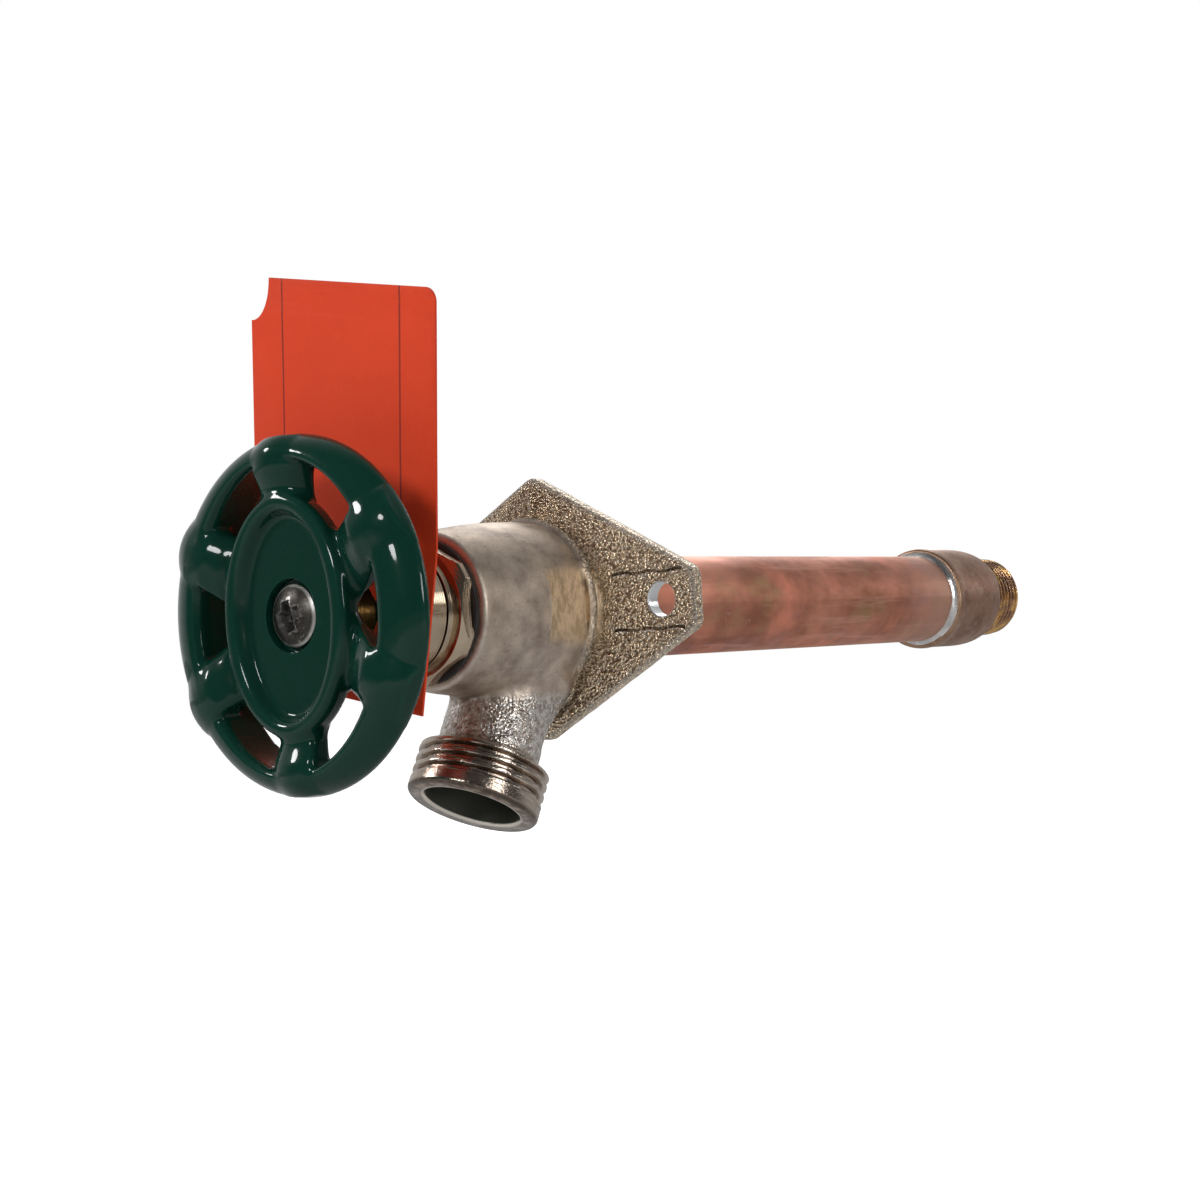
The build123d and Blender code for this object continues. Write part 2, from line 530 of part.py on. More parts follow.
# Tag, hung round the packing nut's shank, its upper part bent forward
tag_plane = Plane.XZ.offset(tag_back).rotated((0, TAG_LEAN, 0))
tag_side = Plane(origin=(0, -tag_back, 0),
                 x_dir=(sin(radians(TAG_LEAN)), 0, cos(radians(TAG_LEAN))),
                 z_dir=(cos(radians(TAG_LEAN)), 0, -sin(radians(TAG_LEAN))))
tag_top = TAG_H - TAG_DOWN + CUT_PAST
tag_bottom = -TAG_DOWN - CUT_PAST
bend_rise = TAG_BEND_SLOPE * (TAG_BEND_END - TAG_BEND_START) / 2
tag_reach = bend_rise + TAG_BEND_SLOPE * (tag_top - TAG_BEND_END)
with BuildPart() as product_tag:
    with BuildSketch(tag_side):
        with BuildLine():
            for front in (0, TAG_T):
                Line((tag_bottom, front), (TAG_BEND_START, front))
                TangentArc((TAG_BEND_START, front), (TAG_BEND_END, front + bend_rise), tangent=(1, 0))
                Line((TAG_BEND_END, front + bend_rise), (tag_top, front + tag_reach))
            Line((tag_bottom, 0), (tag_bottom, TAG_T))
            Line((tag_top, tag_reach), (tag_top, tag_reach + TAG_T))
        make_face()
    extrude(amount=TAG_W, both=True)
    with BuildSketch(tag_plane) as card:
        with Locations((TAG_W / 2 - TAG_LEFT, TAG_H / 2 - TAG_DOWN)):
            Rectangle(TAG_W, TAG_H)
        fillet(card.vertices().group_by(Axis.Y)[-1].sort_by(Axis.X)[-1:], TAG_CORNER_R)
        with Locations((-TAG_LEFT, TAG_H - TAG_DOWN)):
            Ellipse(TAG_NOTCH_W, TAG_NOTCH_H, mode=Mode.SUBTRACT)
        Circle(PACKING_R - THREAD_FIT + TAG_HOLE_PLAY, mode=Mode.SUBTRACT)
    extrude(amount=tag_reach + TAG_T, mode=Mode.INTERSECT)
write("product_tag", product_tag.part)

# Stem: square for the handwheel, shank, screw thread, and a tail that holds the rod
stem_turns = int(STEM_THREAD_LENGTH / STEM_LEAD)
with BuildPart() as stem:
    ring(0, STEM_R, -STEM_TAIL, -stem_shoulder)
    turned([(0, -stem_thread_rear), (STEM_THREAD_R - STEM_THREAD_DEPTH, -stem_thread_rear),
            (STEM_THREAD_R, -stem_thread_rear - EDGE_BREAK)]
           + thread_grooves(-stem_thread_rear - EDGE_BREAK, -stem_thread_front + EDGE_BREAK, stem_turns,
                            STEM_THREAD_R, STEM_THREAD_R, STEM_THREAD_DEPTH)
           + [(STEM_THREAD_R, -stem_thread_front + EDGE_BREAK / 2),
              (STEM_THREAD_R - EDGE_BREAK, -stem_thread_front), (0, -stem_thread_front)])
    with BuildSketch(Plane.XZ.offset(stem_shoulder)):
        Rectangle(STEM_SQUARE, STEM_SQUARE)
    extrude(amount=stem_front - stem_shoulder)
    ring(0, HANDLE_SCREW_R + THREAD_FIT, -stem_front,
         -recess_floor + HANDLE_SCREW_LENGTH + HANDLE_SCREW_SPARE, Mode.SUBTRACT)
    ring(0, ROD_R + SOLDER_FIT, -STEM_TAIL, rod_front, Mode.SUBTRACT)
    with BuildSketch(Plane.XY):
        with Locations((0, (rod_front - STEM_TAIL) / 2)):
            Circle(ROD_PIN_R)
    extrude(amount=STEM_R, both=True, mode=Mode.SUBTRACT)
write("stem", stem.part)

# Operating rod, with the groove that its washer holder swivels on
groove_half = SWIVEL_PIN_R + LOOSE_FIT
with BuildPart() as operating_rod:
    turned([(0, rod_front), (ROD_R - EDGE_BREAK, rod_front), (ROD_R, rod_front + EDGE_BREAK),
            (ROD_R, swivel_y - groove_half), (SWIVEL_GROOVE_R, swivel_y - groove_half),
            (SWIVEL_GROOVE_R, swivel_y + groove_half), (ROD_R, swivel_y + groove_half),
            (ROD_R, rod_end - EDGE_BREAK), (ROD_R - EDGE_BREAK, rod_end), (0, rod_end)])
    with BuildSketch(Plane.XY):
        with Locations((0, (rod_front - STEM_TAIL) / 2)):
            Circle(ROD_PIN_R)
    extrude(amount=STEM_R, both=True, mode=Mode.SUBTRACT)
write("operating_rod", operating_rod.part)

with BuildPart() as rod_pin:
    with BuildSketch(Plane.XY):
        with Locations((0, (rod_front - STEM_TAIL) / 2)):
            Circle(ROD_PIN_R - PIN_FIT)
    extrude(amount=STEM_R - ROD_PIN_SHORT, both=True)
write("rod_pin", rod_pin.part)

# Plastic guide that centres the rod half way down the tube
with BuildPart() as rod_guide:
    ring(ROD_R, ROD_R + ROD_GUIDE_RING, ROD_GUIDE_STATION, ROD_GUIDE_STATION + ROD_GUIDE_T)
    with BuildSketch(Plane.XZ.offset(-ROD_GUIDE_STATION - ROD_GUIDE_T)):
        with PolarLocations((tube_bore_r + ROD_R) / 2, 3, start_angle=90):
            Rectangle(tube_bore_r - ROD_R - 2 * ROD_GUIDE_PLAY, ROD_GUIDE_ARM)
    extrude(amount=ROD_GUIDE_T)
write("rod_guide", rod_guide.part)

# Handwheel: an oval dished hub, a rim with sloping sides and six saddle-shaped spokes
spoke_back = -hub_front + HUB_T
crest_r = WHEEL_R - RIM_CREST_INSET
rim_in_r = WHEEL_R - RIM_W
rim_front = -WHEEL_STATION - RIM_CREST
spoke_rise = SPOKE_CREST - SPOKE_DIP
spoke_sections = ((SPOKE_ROOT_R, SPOKE_DIP, SPOKE_W + SPOKE_WAIST),
                  ((2 * SPOKE_ROOT_R + crest_r) / 3, SPOKE_DIP, SPOKE_W - SPOKE_WAIST / 2),
                  ((SPOKE_ROOT_R + 2 * crest_r) / 3, SPOKE_DIP + spoke_rise / 4, SPOKE_W - SPOKE_WAIST),
                  (crest_r - RIM_LAND, SPOKE_CREST, SPOKE_W),
                  ((WHEEL_R + crest_r) / 2, SPOKE_CREST / 2 + SPOKE_DIP / 3, SPOKE_W - SPOKE_WAIST),
                  (WHEEL_R + SPOKE_PROUD, SPOKE_DIP / 5, SPOKE_W - 2 * SPOKE_WAIST))
with BuildPart() as handwheel:
    with BuildSketch(Plane.XZ.offset(-spoke_back)):
        Ellipse(HUB_HALF_W, HUB_HALF_H)
    extrude(amount=HUB_T)
    fillet(handwheel.edges(), HUB_ROUND)
    with BuildSketch(Plane.XY) as rim:
        with BuildLine():
            Polyline((rim_in_r, -WHEEL_STATION + RIM_BACK), (WHEEL_R - RIM_BACK_INSET, -WHEEL_STATION + RIM_BACK),
                     (WHEEL_R, -WHEEL_STATION + RIM_LAND / 2), (WHEEL_R, -WHEEL_STATION - RIM_LAND / 2))
            ThreePointArc((WHEEL_R, -WHEEL_STATION - RIM_LAND / 2),
                          ((WHEEL_R + crest_r + RIM_CREST_BULGE) / 2,
                           -WHEEL_STATION - (RIM_CREST + RIM_CREST_BULGE) / 2),
                          (crest_r, rim_front))
            ThreePointArc((crest_r, rim_front),
                          ((crest_r + 3 * rim_in_r) / 4, -WHEEL_STATION - 3 * RIM_CREST / 4),
                          (rim_in_r, -WHEEL_STATION - RIM_CREST / 3))
            Line((rim_in_r, -WHEEL_STATION - RIM_CREST / 3), (rim_in_r, -WHEEL_STATION + RIM_BACK))
        make_face()
    revolve(axis=Axis.Y)
    for number in range(SPOKES):
        spoke_plane = Plane.XY.rotated((0, 360 * number / SPOKES, 0))
        for radius, crest, width in spoke_sections:
            with BuildSketch(spoke_plane.offset(radius)):
                with BuildLine():
                    top = -WHEEL_STATION - crest
                    shoulder = min(top + SPOKE_ROUND, (top + spoke_back) / 2)
                    Polyline((-width / 2, shoulder), (-width / 2, spoke_back), (width / 2, spoke_back),
                             (width / 2, shoulder))
                    ThreePointArc((width / 2, shoulder), (0, top), (-width / 2, shoulder))
                make_face()
        loft()
    ring(0, BOSS_R, -hub_back, (spoke_back - hub_front) / 2)
    with BuildSketch(Plane.XZ.offset(dish_floor)):
        Ellipse(DISH_HALF_W, DISH_HALF_H)
    extrude(amount=DISH_DEPTH + CUT_PAST, mode=Mode.SUBTRACT)
    ring(0, RECESS_R, -recess_floor, -hub_front, Mode.SUBTRACT)
    with BuildSketch(Plane.XZ.offset(hub_back)):
        Rectangle(STEM_SQUARE + 2 * WHEEL_PLAY, STEM_SQUARE + 2 * WHEEL_PLAY)
    extrude(amount=hub_front - hub_back, mode=Mode.SUBTRACT)
write("handwheel", handwheel.part)

# Handle screw with its cross recess, over a split lock washer
washer_face = recess_floor + LOCK_WASHER_T
head_top = washer_face + HANDLE_SCREW_HEAD_H
with BuildPart() as lock_washer:
    ring(HANDLE_SCREW_R + LOCK_WASHER_PLAY, LOCK_WASHER_R, -recess_floor, -washer_face)
    with BuildSketch(Plane.XZ.offset(recess_floor)):
        with Locations((0, LOCK_WASHER_R)):
            Rectangle(LOCK_WASHER_SPLIT, 2 * (LOCK_WASHER_R - HANDLE_SCREW_R))
    extrude(amount=LOCK_WASHER_T, mode=Mode.SUBTRACT)
write("lock_washer", lock_washer.part)

with BuildPart() as handle_screw:
    with BuildSketch(Plane.XY):
        with BuildLine():
            Polyline((0, -washer_face), (HANDLE_SCREW_HEAD_R, -washer_face),
                     (HANDLE_SCREW_HEAD_R, -washer_face - HANDLE_SCREW_HEAD_EDGE))
            ThreePointArc((HANDLE_SCREW_HEAD_R, -washer_face - HANDLE_SCREW_HEAD_EDGE),
                          (0.62 * HANDLE_SCREW_HEAD_R, -head_top + HANDLE_SCREW_DOME), (0, -head_top))
            Line((0, -head_top), (0, -washer_face))
        make_face()
    revolve(axis=Axis.Y)
    ring(0, HANDLE_SCREW_R, -washer_face - HANDLE_SCREW_HEAD_EDGE, -recess_floor + HANDLE_SCREW_LENGTH)
    with BuildSketch(Plane.XZ.offset(head_top - DRIVE_DEPTH)):
        Rectangle(DRIVE_SPAN, DRIVE_W)
        Rectangle(DRIVE_W, DRIVE_SPAN)
    extrude(amount=DRIVE_DEPTH + CUT_PAST, mode=Mode.SUBTRACT)
write("handle_screw", handle_screw.part)

# Washer holder on the rod's far end: it slides with the rod, and the rod turns inside it
with BuildPart() as washer_holder:
    with BuildSketch(Plane.XZ.offset(-washer_front)):
        with PolarLocations(HOLDER_FIN_R / 2, HOLDER_FINS, start_angle=45):
            Rectangle(HOLDER_FIN_R, HOLDER_FIN_W)
    extrude(amount=HOLDER_LENGTH - HOLDER_NOSE_RUN / 2)
    turned([(0, holder_front), (HOLDER_NOSE_R, holder_front),
            (HOLDER_NECK_R, holder_front + HOLDER_NOSE_RUN),
            (HOLDER_R, washer_front - HOLDER_SKIRT), (HOLDER_R, holder_rim_end),
            (SEAT_WASHER_R + THREAD_FIT, holder_rim_end),
            (SEAT_WASHER_R + THREAD_FIT, washer_front), (0, washer_front)])
    ring(0, ROD_R + RUNNING_FIT, holder_front, holder_front + HOLDER_BORE_DEPTH, Mode.SUBTRACT)
    ring(0, WASHER_SCREW_R + THREAD_FIT, holder_front + HOLDER_BORE_DEPTH - WASHER_SCREW_HOLE_IN,
         washer_front, Mode.SUBTRACT)
    with BuildSketch(Plane.XY):
        with Locations((-SWIVEL_PIN_X, swivel_y), (SWIVEL_PIN_X, swivel_y)):
            Circle(SWIVEL_PIN_R)
    extrude(amount=HOLDER_R, both=True, mode=Mode.SUBTRACT)
write("washer_holder", washer_holder.part)

with BuildPart() as swivel_pins:
    with BuildSketch(Plane.XY):
        with Locations((-SWIVEL_PIN_X, swivel_y), (SWIVEL_PIN_X, swivel_y)):
            Circle(SWIVEL_PIN_R - PIN_FIT)
    extrude(amount=HOLDER_R - SWIVEL_PIN_SHORT, both=True)
write("swivel_pins", swivel_pins.part)

with BuildPart() as seat_washer:
    ring(WASHER_SCREW_R + THREAD_FIT, SEAT_WASHER_R, washer_front, washer_rear)
write("seat_washer", seat_washer.part)

with BuildPart() as washer_screw:
    ring(0, WASHER_SCREW_R, washer_rear - WASHER_SCREW_LENGTH, washer_rear)
    turned([(0, washer_rear), (WASHER_SCREW_HEAD_R, washer_rear),
            (WASHER_SCREW_HEAD_R, washer_rear + WASHER_SCREW_HEAD_H - EDGE_BREAK),
            (WASHER_SCREW_HEAD_R - EDGE_BREAK, washer_rear + WASHER_SCREW_HEAD_H),
            (0, washer_rear + WASHER_SCREW_HEAD_H)])
    with BuildSketch(Plane.XZ.offset(-washer_rear - WASHER_SCREW_HEAD_H)):
        Rectangle(2 * WASHER_SCREW_HEAD_R, WASHER_SCREW_SLOT_W)
    extrude(amount=WASHER_SCREW_SLOT_H, mode=Mode.SUBTRACT)
write("washer_screw", washer_screw.part)

# Check valve in the tube: a seat bush, a sprung poppet with a rubber ring, and a spring guide
with BuildPart() as check_seat:
    turned([(CHECK_ORIFICE_R, CHECK_SEAT_STATION - CHECK_LAND_H),
            (CHECK_ORIFICE_R + CHECK_LAND_W, CHECK_SEAT_STATION - CHECK_LAND_H),
            (CHECK_ORIFICE_R + CHECK_LAND_W + EDGE_BREAK, CHECK_SEAT_STATION),
            (tube_bore_r - SOLDER_FIT, CHECK_SEAT_STATION),
            (tube_bore_r - SOLDER_FIT, CHECK_SEAT_STATION + CHECK_SEAT_T),
            (CHECK_ORIFICE_R + CHECK_ORIFICE_EDGE, CHECK_SEAT_STATION + CHECK_SEAT_T),
            (CHECK_ORIFICE_R, CHECK_SEAT_STATION + CHECK_SEAT_T - CHECK_ORIFICE_EDGE)])
write("check_seat", check_seat.part)

poppet_rear = CHECK_SEAT_STATION - CHECK_LAND_H - SEAT_GAP
poppet_front = poppet_rear - CHECK_POPPET_T
guide_rear = CHECK_GUIDE_STATION + CHECK_GUIDE_T
hub_end = guide_rear + CHECK_TRAVEL + STOP_PLAY
with BuildPart() as check_poppet:
    turned([(ROD_R + RUNNING_FIT, poppet_rear), (CHECK_SEAL_IN_R, poppet_rear),
            (CHECK_SEAL_IN_R, poppet_rear - CHECK_SEAL_T), (CHECK_SEAL_OUT_R, poppet_rear - CHECK_SEAL_T),
            (CHECK_SEAL_OUT_R, poppet_rear), (CHECK_POPPET_R, poppet_rear),
            (CHECK_POPPET_R, poppet_front + CHECK_POPPET_EDGE),
            (CHECK_POPPET_R - CHECK_POPPET_EDGE, poppet_front),
            (CHECK_HUB_R, poppet_front), (CHECK_HUB_R, hub_end), (ROD_R + RUNNING_FIT, hub_end)])
write("check_poppet", check_poppet.part)

with BuildPart() as check_seal:
    ring(CHECK_SEAL_IN_R, CHECK_SEAL_OUT_R, poppet_rear - CHECK_SEAL_T, poppet_rear)
write("check_seal", check_seal.part)

with BuildPart() as check_guide:
    ring(ROD_R + LOOSE_FIT, tube_bore_r - SOLDER_FIT, CHECK_GUIDE_STATION, guide_rear)
    with BuildSketch(Plane.XZ.offset(-guide_rear)):
        with PolarLocations(CHECK_GUIDE_CIRCLE_R, CHECK_GUIDE_HOLES):
            Circle(CHECK_GUIDE_HOLE_R)
    extrude(amount=CHECK_GUIDE_T, mode=Mode.SUBTRACT)
write("check_guide", check_guide.part)

spring_run = poppet_front - guide_rear - 2 * SPRING_WIRE_R
spring_start = guide_rear + SPRING_WIRE_R
with BuildPart() as check_spring:
    with BuildLine() as coil:
        Helix(spring_run / SPRING_TURNS, spring_run, SPRING_R,
              center=(0, spring_start, 0), direction=(0, 1, 0))
    with BuildSketch(Plane(origin=coil.line @ 0, z_dir=coil.line % 0)) as wire:
        Circle(SPRING_WIRE_R)
    sweep(wire.sketch, path=coil.line, is_frenet=True)
write("check_spring", check_spring.part)

print("travel of the stem", round(stem_travel, 3), "mm")
print("nozzle lip centre", nozzle_lip)
print("overall length", round(inlet_end + WHEEL_STATION + SPOKE_CREST, 2), "mm")
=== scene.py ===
# %% [markdown]
# # A frost-free wall hydrant
# The real object is a garden tap that goes through a wall. Outside are a green handwheel, a polished bonnet
# and a rough cast body with a hose nozzle; a copper tube reaches back to a valve on the warm side.
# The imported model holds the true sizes, so it is loaded first and never moved. Everything made below is
# laid over it in the same frame, in metres, and rides on the piece of the mechanism that it belongs to.

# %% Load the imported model
import bmesh
import bpy
import math
import numpy as np
from mathutils import Matrix, Vector


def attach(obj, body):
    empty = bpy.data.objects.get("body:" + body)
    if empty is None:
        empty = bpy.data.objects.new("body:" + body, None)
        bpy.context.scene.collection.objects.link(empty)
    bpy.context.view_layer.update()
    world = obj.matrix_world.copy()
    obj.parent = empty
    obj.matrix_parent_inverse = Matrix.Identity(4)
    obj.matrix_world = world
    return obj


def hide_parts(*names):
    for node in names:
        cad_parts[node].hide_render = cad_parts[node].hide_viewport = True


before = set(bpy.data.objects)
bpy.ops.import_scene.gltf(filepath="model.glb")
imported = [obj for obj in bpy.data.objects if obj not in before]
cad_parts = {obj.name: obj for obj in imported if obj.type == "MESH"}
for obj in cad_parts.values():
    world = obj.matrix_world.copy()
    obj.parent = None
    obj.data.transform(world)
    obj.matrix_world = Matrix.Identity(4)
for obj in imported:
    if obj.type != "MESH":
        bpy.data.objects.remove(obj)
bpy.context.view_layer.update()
MM = 0.001

# %% [markdown]
# ## The camera
# A photograph fixes where its camera stood, and a picture can only be compared with it from there. The
# azimuth is measured from straight in front of the wall, and the camera looks slightly up and is rolled
# a little. The camera comes first, because every later piece is seen through it.

# %% Place the camera
CAMERA_AZIMUTH = math.radians(40.0)
CAMERA_ELEVATION = math.radians(-1.695)
CAMERA_ROLL = math.radians(3.337)
CAMERA_PLACE = Vector((0.29314, -0.33209, -0.01187))

camera = bpy.data.objects.new("camera", bpy.data.cameras.new("camera"))
bpy.context.scene.collection.objects.link(camera)
bpy.context.scene.camera = camera
camera.data.sensor_width = 36.0
camera.data.lens = 63.39
camera.data.clip_start = 0.01
away = Vector((math.sin(CAMERA_AZIMUTH) * math.cos(CAMERA_ELEVATION),
               -math.cos(CAMERA_AZIMUTH) * math.cos(CAMERA_ELEVATION), math.sin(CAMERA_ELEVATION)))
level = Vector((math.cos(CAMERA_AZIMUTH), math.sin(CAMERA_AZIMUTH), 0))
upright = away.cross(level)
rolled_right = level * math.cos(CAMERA_ROLL) - upright * math.sin(CAMERA_ROLL)
rolled_up = level * math.sin(CAMERA_ROLL) + upright * math.cos(CAMERA_ROLL)
camera.matrix_world = (Matrix.Translation(CAMERA_PLACE)
                       @ Matrix((rolled_right, rolled_up, away)).transposed().to_4x4())
print("camera is", round(CAMERA_PLACE.length, 3), "m from the wall face")

# %% [markdown]
# ## From points to a mesh
# Every piece below is worked out as points and faces in millimetres, the unit a maker thinks in, and turned
# into metres in one place. Faces have to look out of the metal, or a cut would keep the wrong side, so one
# helper turns them all.

# %% New meshes
def mesh_object(name, points, faces):
    """A new object from points in millimetres."""
    mesh = bpy.data.meshes.new(name)
    mesh.from_pydata(np.asarray(points, float) * MM, [], [tuple(face) for face in faces])
    mesh.validate()
    piece = bpy.data.objects.new(name, mesh)
    bpy.context.scene.collection.objects.link(piece)
    return piece


def outward(piece):
    """Turn all faces to point out of the solid."""
    shape = bmesh.new()
    shape.from_mesh(piece.data)
    bmesh.ops.recalc_face_normals(shape, faces=shape.faces)
    shape.to_mesh(piece.data)
    shape.free()
    return piece


print("points are given in units of", MM, "m")

# %% [markdown]
# ## Turned pieces
# A lathe cuts round pieces, so half of the section says everything. The outline is a list of (radius,
# station) points, and the helper spins it. Real corners are never knife-sharp: a corner rounded by a tenth
# of a millimetre catches a thin line of light, which is what makes a piece look solid.

# %% Soft corners for an outline
def softened(outline, radius, steps=3):
    """The same closed outline with small arcs for corners, except on the axis."""
    result = []
    for number, here in enumerate(outline):
        if here[0] == 0:
            result.append(here)
            continue
        here, back, on = (np.array(p, float) for p in (here, outline[number - 1],
                                                       outline[(number + 1) % len(outline)]))
        back_way, on_way = back - here, on - here
        back_run, on_run = np.hypot(*back_way), np.hypot(*on_way)
        cut = min(radius, 0.45 * back_run, 0.45 * on_run)
        start, end = here + back_way * cut / back_run, here + on_way * cut / on_run
        for t in np.linspace(0, 1, steps + 1):
            result.append(tuple((1 - t) ** 2 * start + 2 * t * (1 - t) * here + t ** 2 * end))
    return result


print("a softened square has", len(softened([(1, 0), (2, 0), (2, 1), (1, 1)], 0.1)), "points")


# %% A lathe for round pieces
def circle_about(way, around):
    """The line's own direction, and directions that go once round it."""
    way = Vector(way).normalized()
    side = Vector((1, 0, 0))
    other = way.cross(side).normalized()
    angles = np.linspace(0, 2 * math.pi, around, endpoint=False)
    return np.array(way), np.outer(np.cos(angles), side) + np.outer(np.sin(angles), other)


def spun(name, outline, origin=(0, 0, 0), way=(0, 1, 0), around=128):
    """Spin an outline of (radius, station) points about the line from origin along way."""
    way, circle = circle_about(way, around)
    points, rows = [], []
    for radius, station in outline:
        centre = np.array(origin) + station * way
        if radius == 0:
            rows.append([len(points)] * around)
            points.append(centre)
        else:
            rows.append(list(range(len(points), len(points) + around)))
            points.extend(centre + radius * circle)
    faces = []
    for near, far in zip(rows, rows[1:] + rows[:1]):
        for a in range(around):
            b = (a + 1) % around
            face = list(dict.fromkeys((near[a], near[b], far[b], far[a])))
            if len(face) > 2:
                faces.append(face)
    return outward(mesh_object(name, points, faces))


print("lathe ready")

# %% [markdown]
# ## Castings as one smooth body
# A sand casting has no seams: flange, barrel and neck run into each other through soft hollows. Joining
# separate meshes would leave creases, so each casting is written as a distance: a formula that is negative
# in the metal and positive outside it. Two forms melt together where a soft minimum replaces the plain one.

# %% Forms as distances
def melt(first, second, width):
    """Soft minimum: join two forms with a hollow about as wide as given."""
    share = np.clip(0.5 + 0.5 * (second - first) / width, 0, 1)
    return second + (first - second) * share - width * share * (1 - share)


def common(first, second, width):
    """Soft maximum: keep what two forms share, with a rounded edge."""
    return -melt(-first, -second, width)


def slab(flat, thick, edge):
    """A plate from its outline's distance and its half thickness, with rounded edges."""
    a, b = flat + edge, thick + edge
    return np.minimum(np.maximum(a, b), 0) + np.hypot(np.maximum(a, 0), np.maximum(b, 0)) - edge


def outline_distance(x, z, corners):
    """Signed distance to a closed outline, negative inside."""
    best = np.full(x.shape, np.inf)
    inside = np.zeros(x.shape, bool)
    for (ax, az), (bx, bz) in zip(corners, corners[1:] + corners[:1]):
        ex, ez = bx - ax, bz - az
        along = np.clip(((x - ax) * ex + (z - az) * ez) / (ex * ex + ez * ez), 0, 1)
        best = np.minimum(best, (x - ax - along * ex) ** 2 + (z - az - along * ez) ** 2)
        crosses = (az > z) != (bz > z)
        inside ^= crosses & (x < ax + (z - az) * ex / np.where(crosses, ez, 1.0))
    return np.where(inside, -1, 1) * np.sqrt(best)


print("two flat faces that meet at 0 melt down to", round(float(melt(0.0, 0.0, 1.0)), 3))

# %% [markdown]
# ## Drawing the skin of a casting
# A grid is laid over the formula. Each cell that the skin crosses gets one point, in the middle of the
# crossings with the grid's lines, and each crossed line gets one face round it. The points are then pulled
# exactly onto the skin, so it is smooth at any grid size. Lone diagonal gaps are filled first, because
# they would leave an edge with four faces, which a later cut can't take.

# %% Read the grid
def neighbours(axis, rest):
    """Slices that pick each grid point and its next neighbour along one axis."""
    near = tuple(slice(0, -1) if k == axis else rest for k in range(3))
    far = tuple(slice(1, None) if k == axis else rest for k in range(3))
    return near, far


def stepped(where, axis, du, dv):
    """Places on the grid, moved by du and dv across the axis."""
    spot = where.copy()
    spot[:, (axis + 1) % 3] += du
    spot[:, (axis + 2) % 3] += dv
    return spot


def without_pinches(value, step):
    """Fill lone diagonal gaps, so that no edge of the skin belongs to four faces."""
    inside = value < 0
    for _ in range(3):
        for u, v in ((0, 1), (1, 2), (0, 2)):
            views = [inside[tuple(slice(a, inside.shape[k] - 1 + a) if k == u
                                  else slice(b, inside.shape[k] - 1 + b) if k == v
                                  else slice(None) for k in range(3))]
                     for a in (0, 1) for b in (0, 1)]
            near_near, near_far, far_near, far_far = views
            falling = near_near & far_far & ~near_far & ~far_near
            rising = near_far & far_near & ~near_near & ~far_far
            near_far |= falling
            near_near |= rising
    return inside, np.where(inside & (value >= 0), -0.01 * step, value)


print("grid helpers ready")


# %% Points and faces of the skin
def cell_points(grid, value, inside, cell):
    """The middle of the crossings in each crossed cell, and each cell's point number."""
    cells = tuple(n - 1 for n in inside.shape)
    total, hits = np.zeros(cells + (3,)), np.zeros(cells)
    for axis in range(3):
        near, far = neighbours(axis, slice(None))
        where = np.argwhere(inside[near] != inside[far])
        first, second = value[near][tuple(where.T)], value[far][tuple(where.T)]
        place = grid[tuple(where.T)].copy()
        place[:, axis] += cell * first / (first - second)
        for du in (0, -1):
            for dv in (0, -1):
                spot = stepped(where, axis, du, dv)
                good = (spot >= 0).all(1) & (spot < cells).all(1)
                np.add.at(total, tuple(spot[good].T), place[good])
                np.add.at(hits, tuple(spot[good].T), 1)
    used = hits > 0
    number = np.full(cells, -1)
    number[used] = np.arange(used.sum())
    return total[used] / hits[used][:, None], number


def cell_faces(inside, number):
    """A face round each crossed grid line, turned to look out of the metal."""
    faces = []
    for axis in range(3):
        near, far = neighbours(axis, slice(1, -1))
        crossed = inside[near] != inside[far]
        where = stepped(np.argwhere(crossed), axis, 1, 1)
        ring = [number[tuple(stepped(where, axis, du, dv).T)]
                for du, dv in ((-1, -1), (0, -1), (0, 0), (-1, 0))]
        face = np.stack(ring, 1)
        backward = ~inside[near][crossed]
        face[backward] = face[backward][:, ::-1]
        faces.append(face)
    return np.concatenate(faces).tolist()


def pulled_on(solid, points, rounds=4, reach=0.02):
    """Pull points onto the surface where the formula is zero."""
    for _ in range(rounds):
        value = solid(*points.T)
        slope = np.empty_like(points)
        for axis in range(3):
            shift = np.zeros(3)
            shift[axis] = reach
            slope[:, axis] = (solid(*(points + shift).T) - solid(*(points - shift).T)) / (2 * reach)
        length = np.maximum((slope ** 2).sum(1), 0.05)
        points = points - slope * np.clip(value / length, -0.5, 0.5)[:, None]
    return points


def cast_piece(name, solid, low, high, cell):
    """Mesh the solid between two corners of a box, all in millimetres."""
    counts = [int(math.ceil((b - a) / cell)) + 1 for a, b in zip(low, high)]
    lines = [a + cell * np.arange(n) for a, n in zip(low, counts)]
    grid = np.stack(np.meshgrid(*lines, indexing="ij"), -1)
    value = solid(*grid.reshape(-1, 3).T).reshape(counts)
    inside, value = without_pinches(value, cell)
    points, number = cell_points(grid, value, inside, cell)
    piece = mesh_object(name, pulled_on(solid, points), cell_faces(inside, number))
    print(name, "cast with", len(points), "points")
    return piece


# %% [markdown]
# ## Cutting with machined tools
# Foundry skin is rough and round; machined holes and faces are crisp. Blender's Boolean modifier does what
# the milling cutter does. Its manifold solver is quick and exact on closed meshes, and the result is kept
# at once, so that each later cut starts from clean metal.

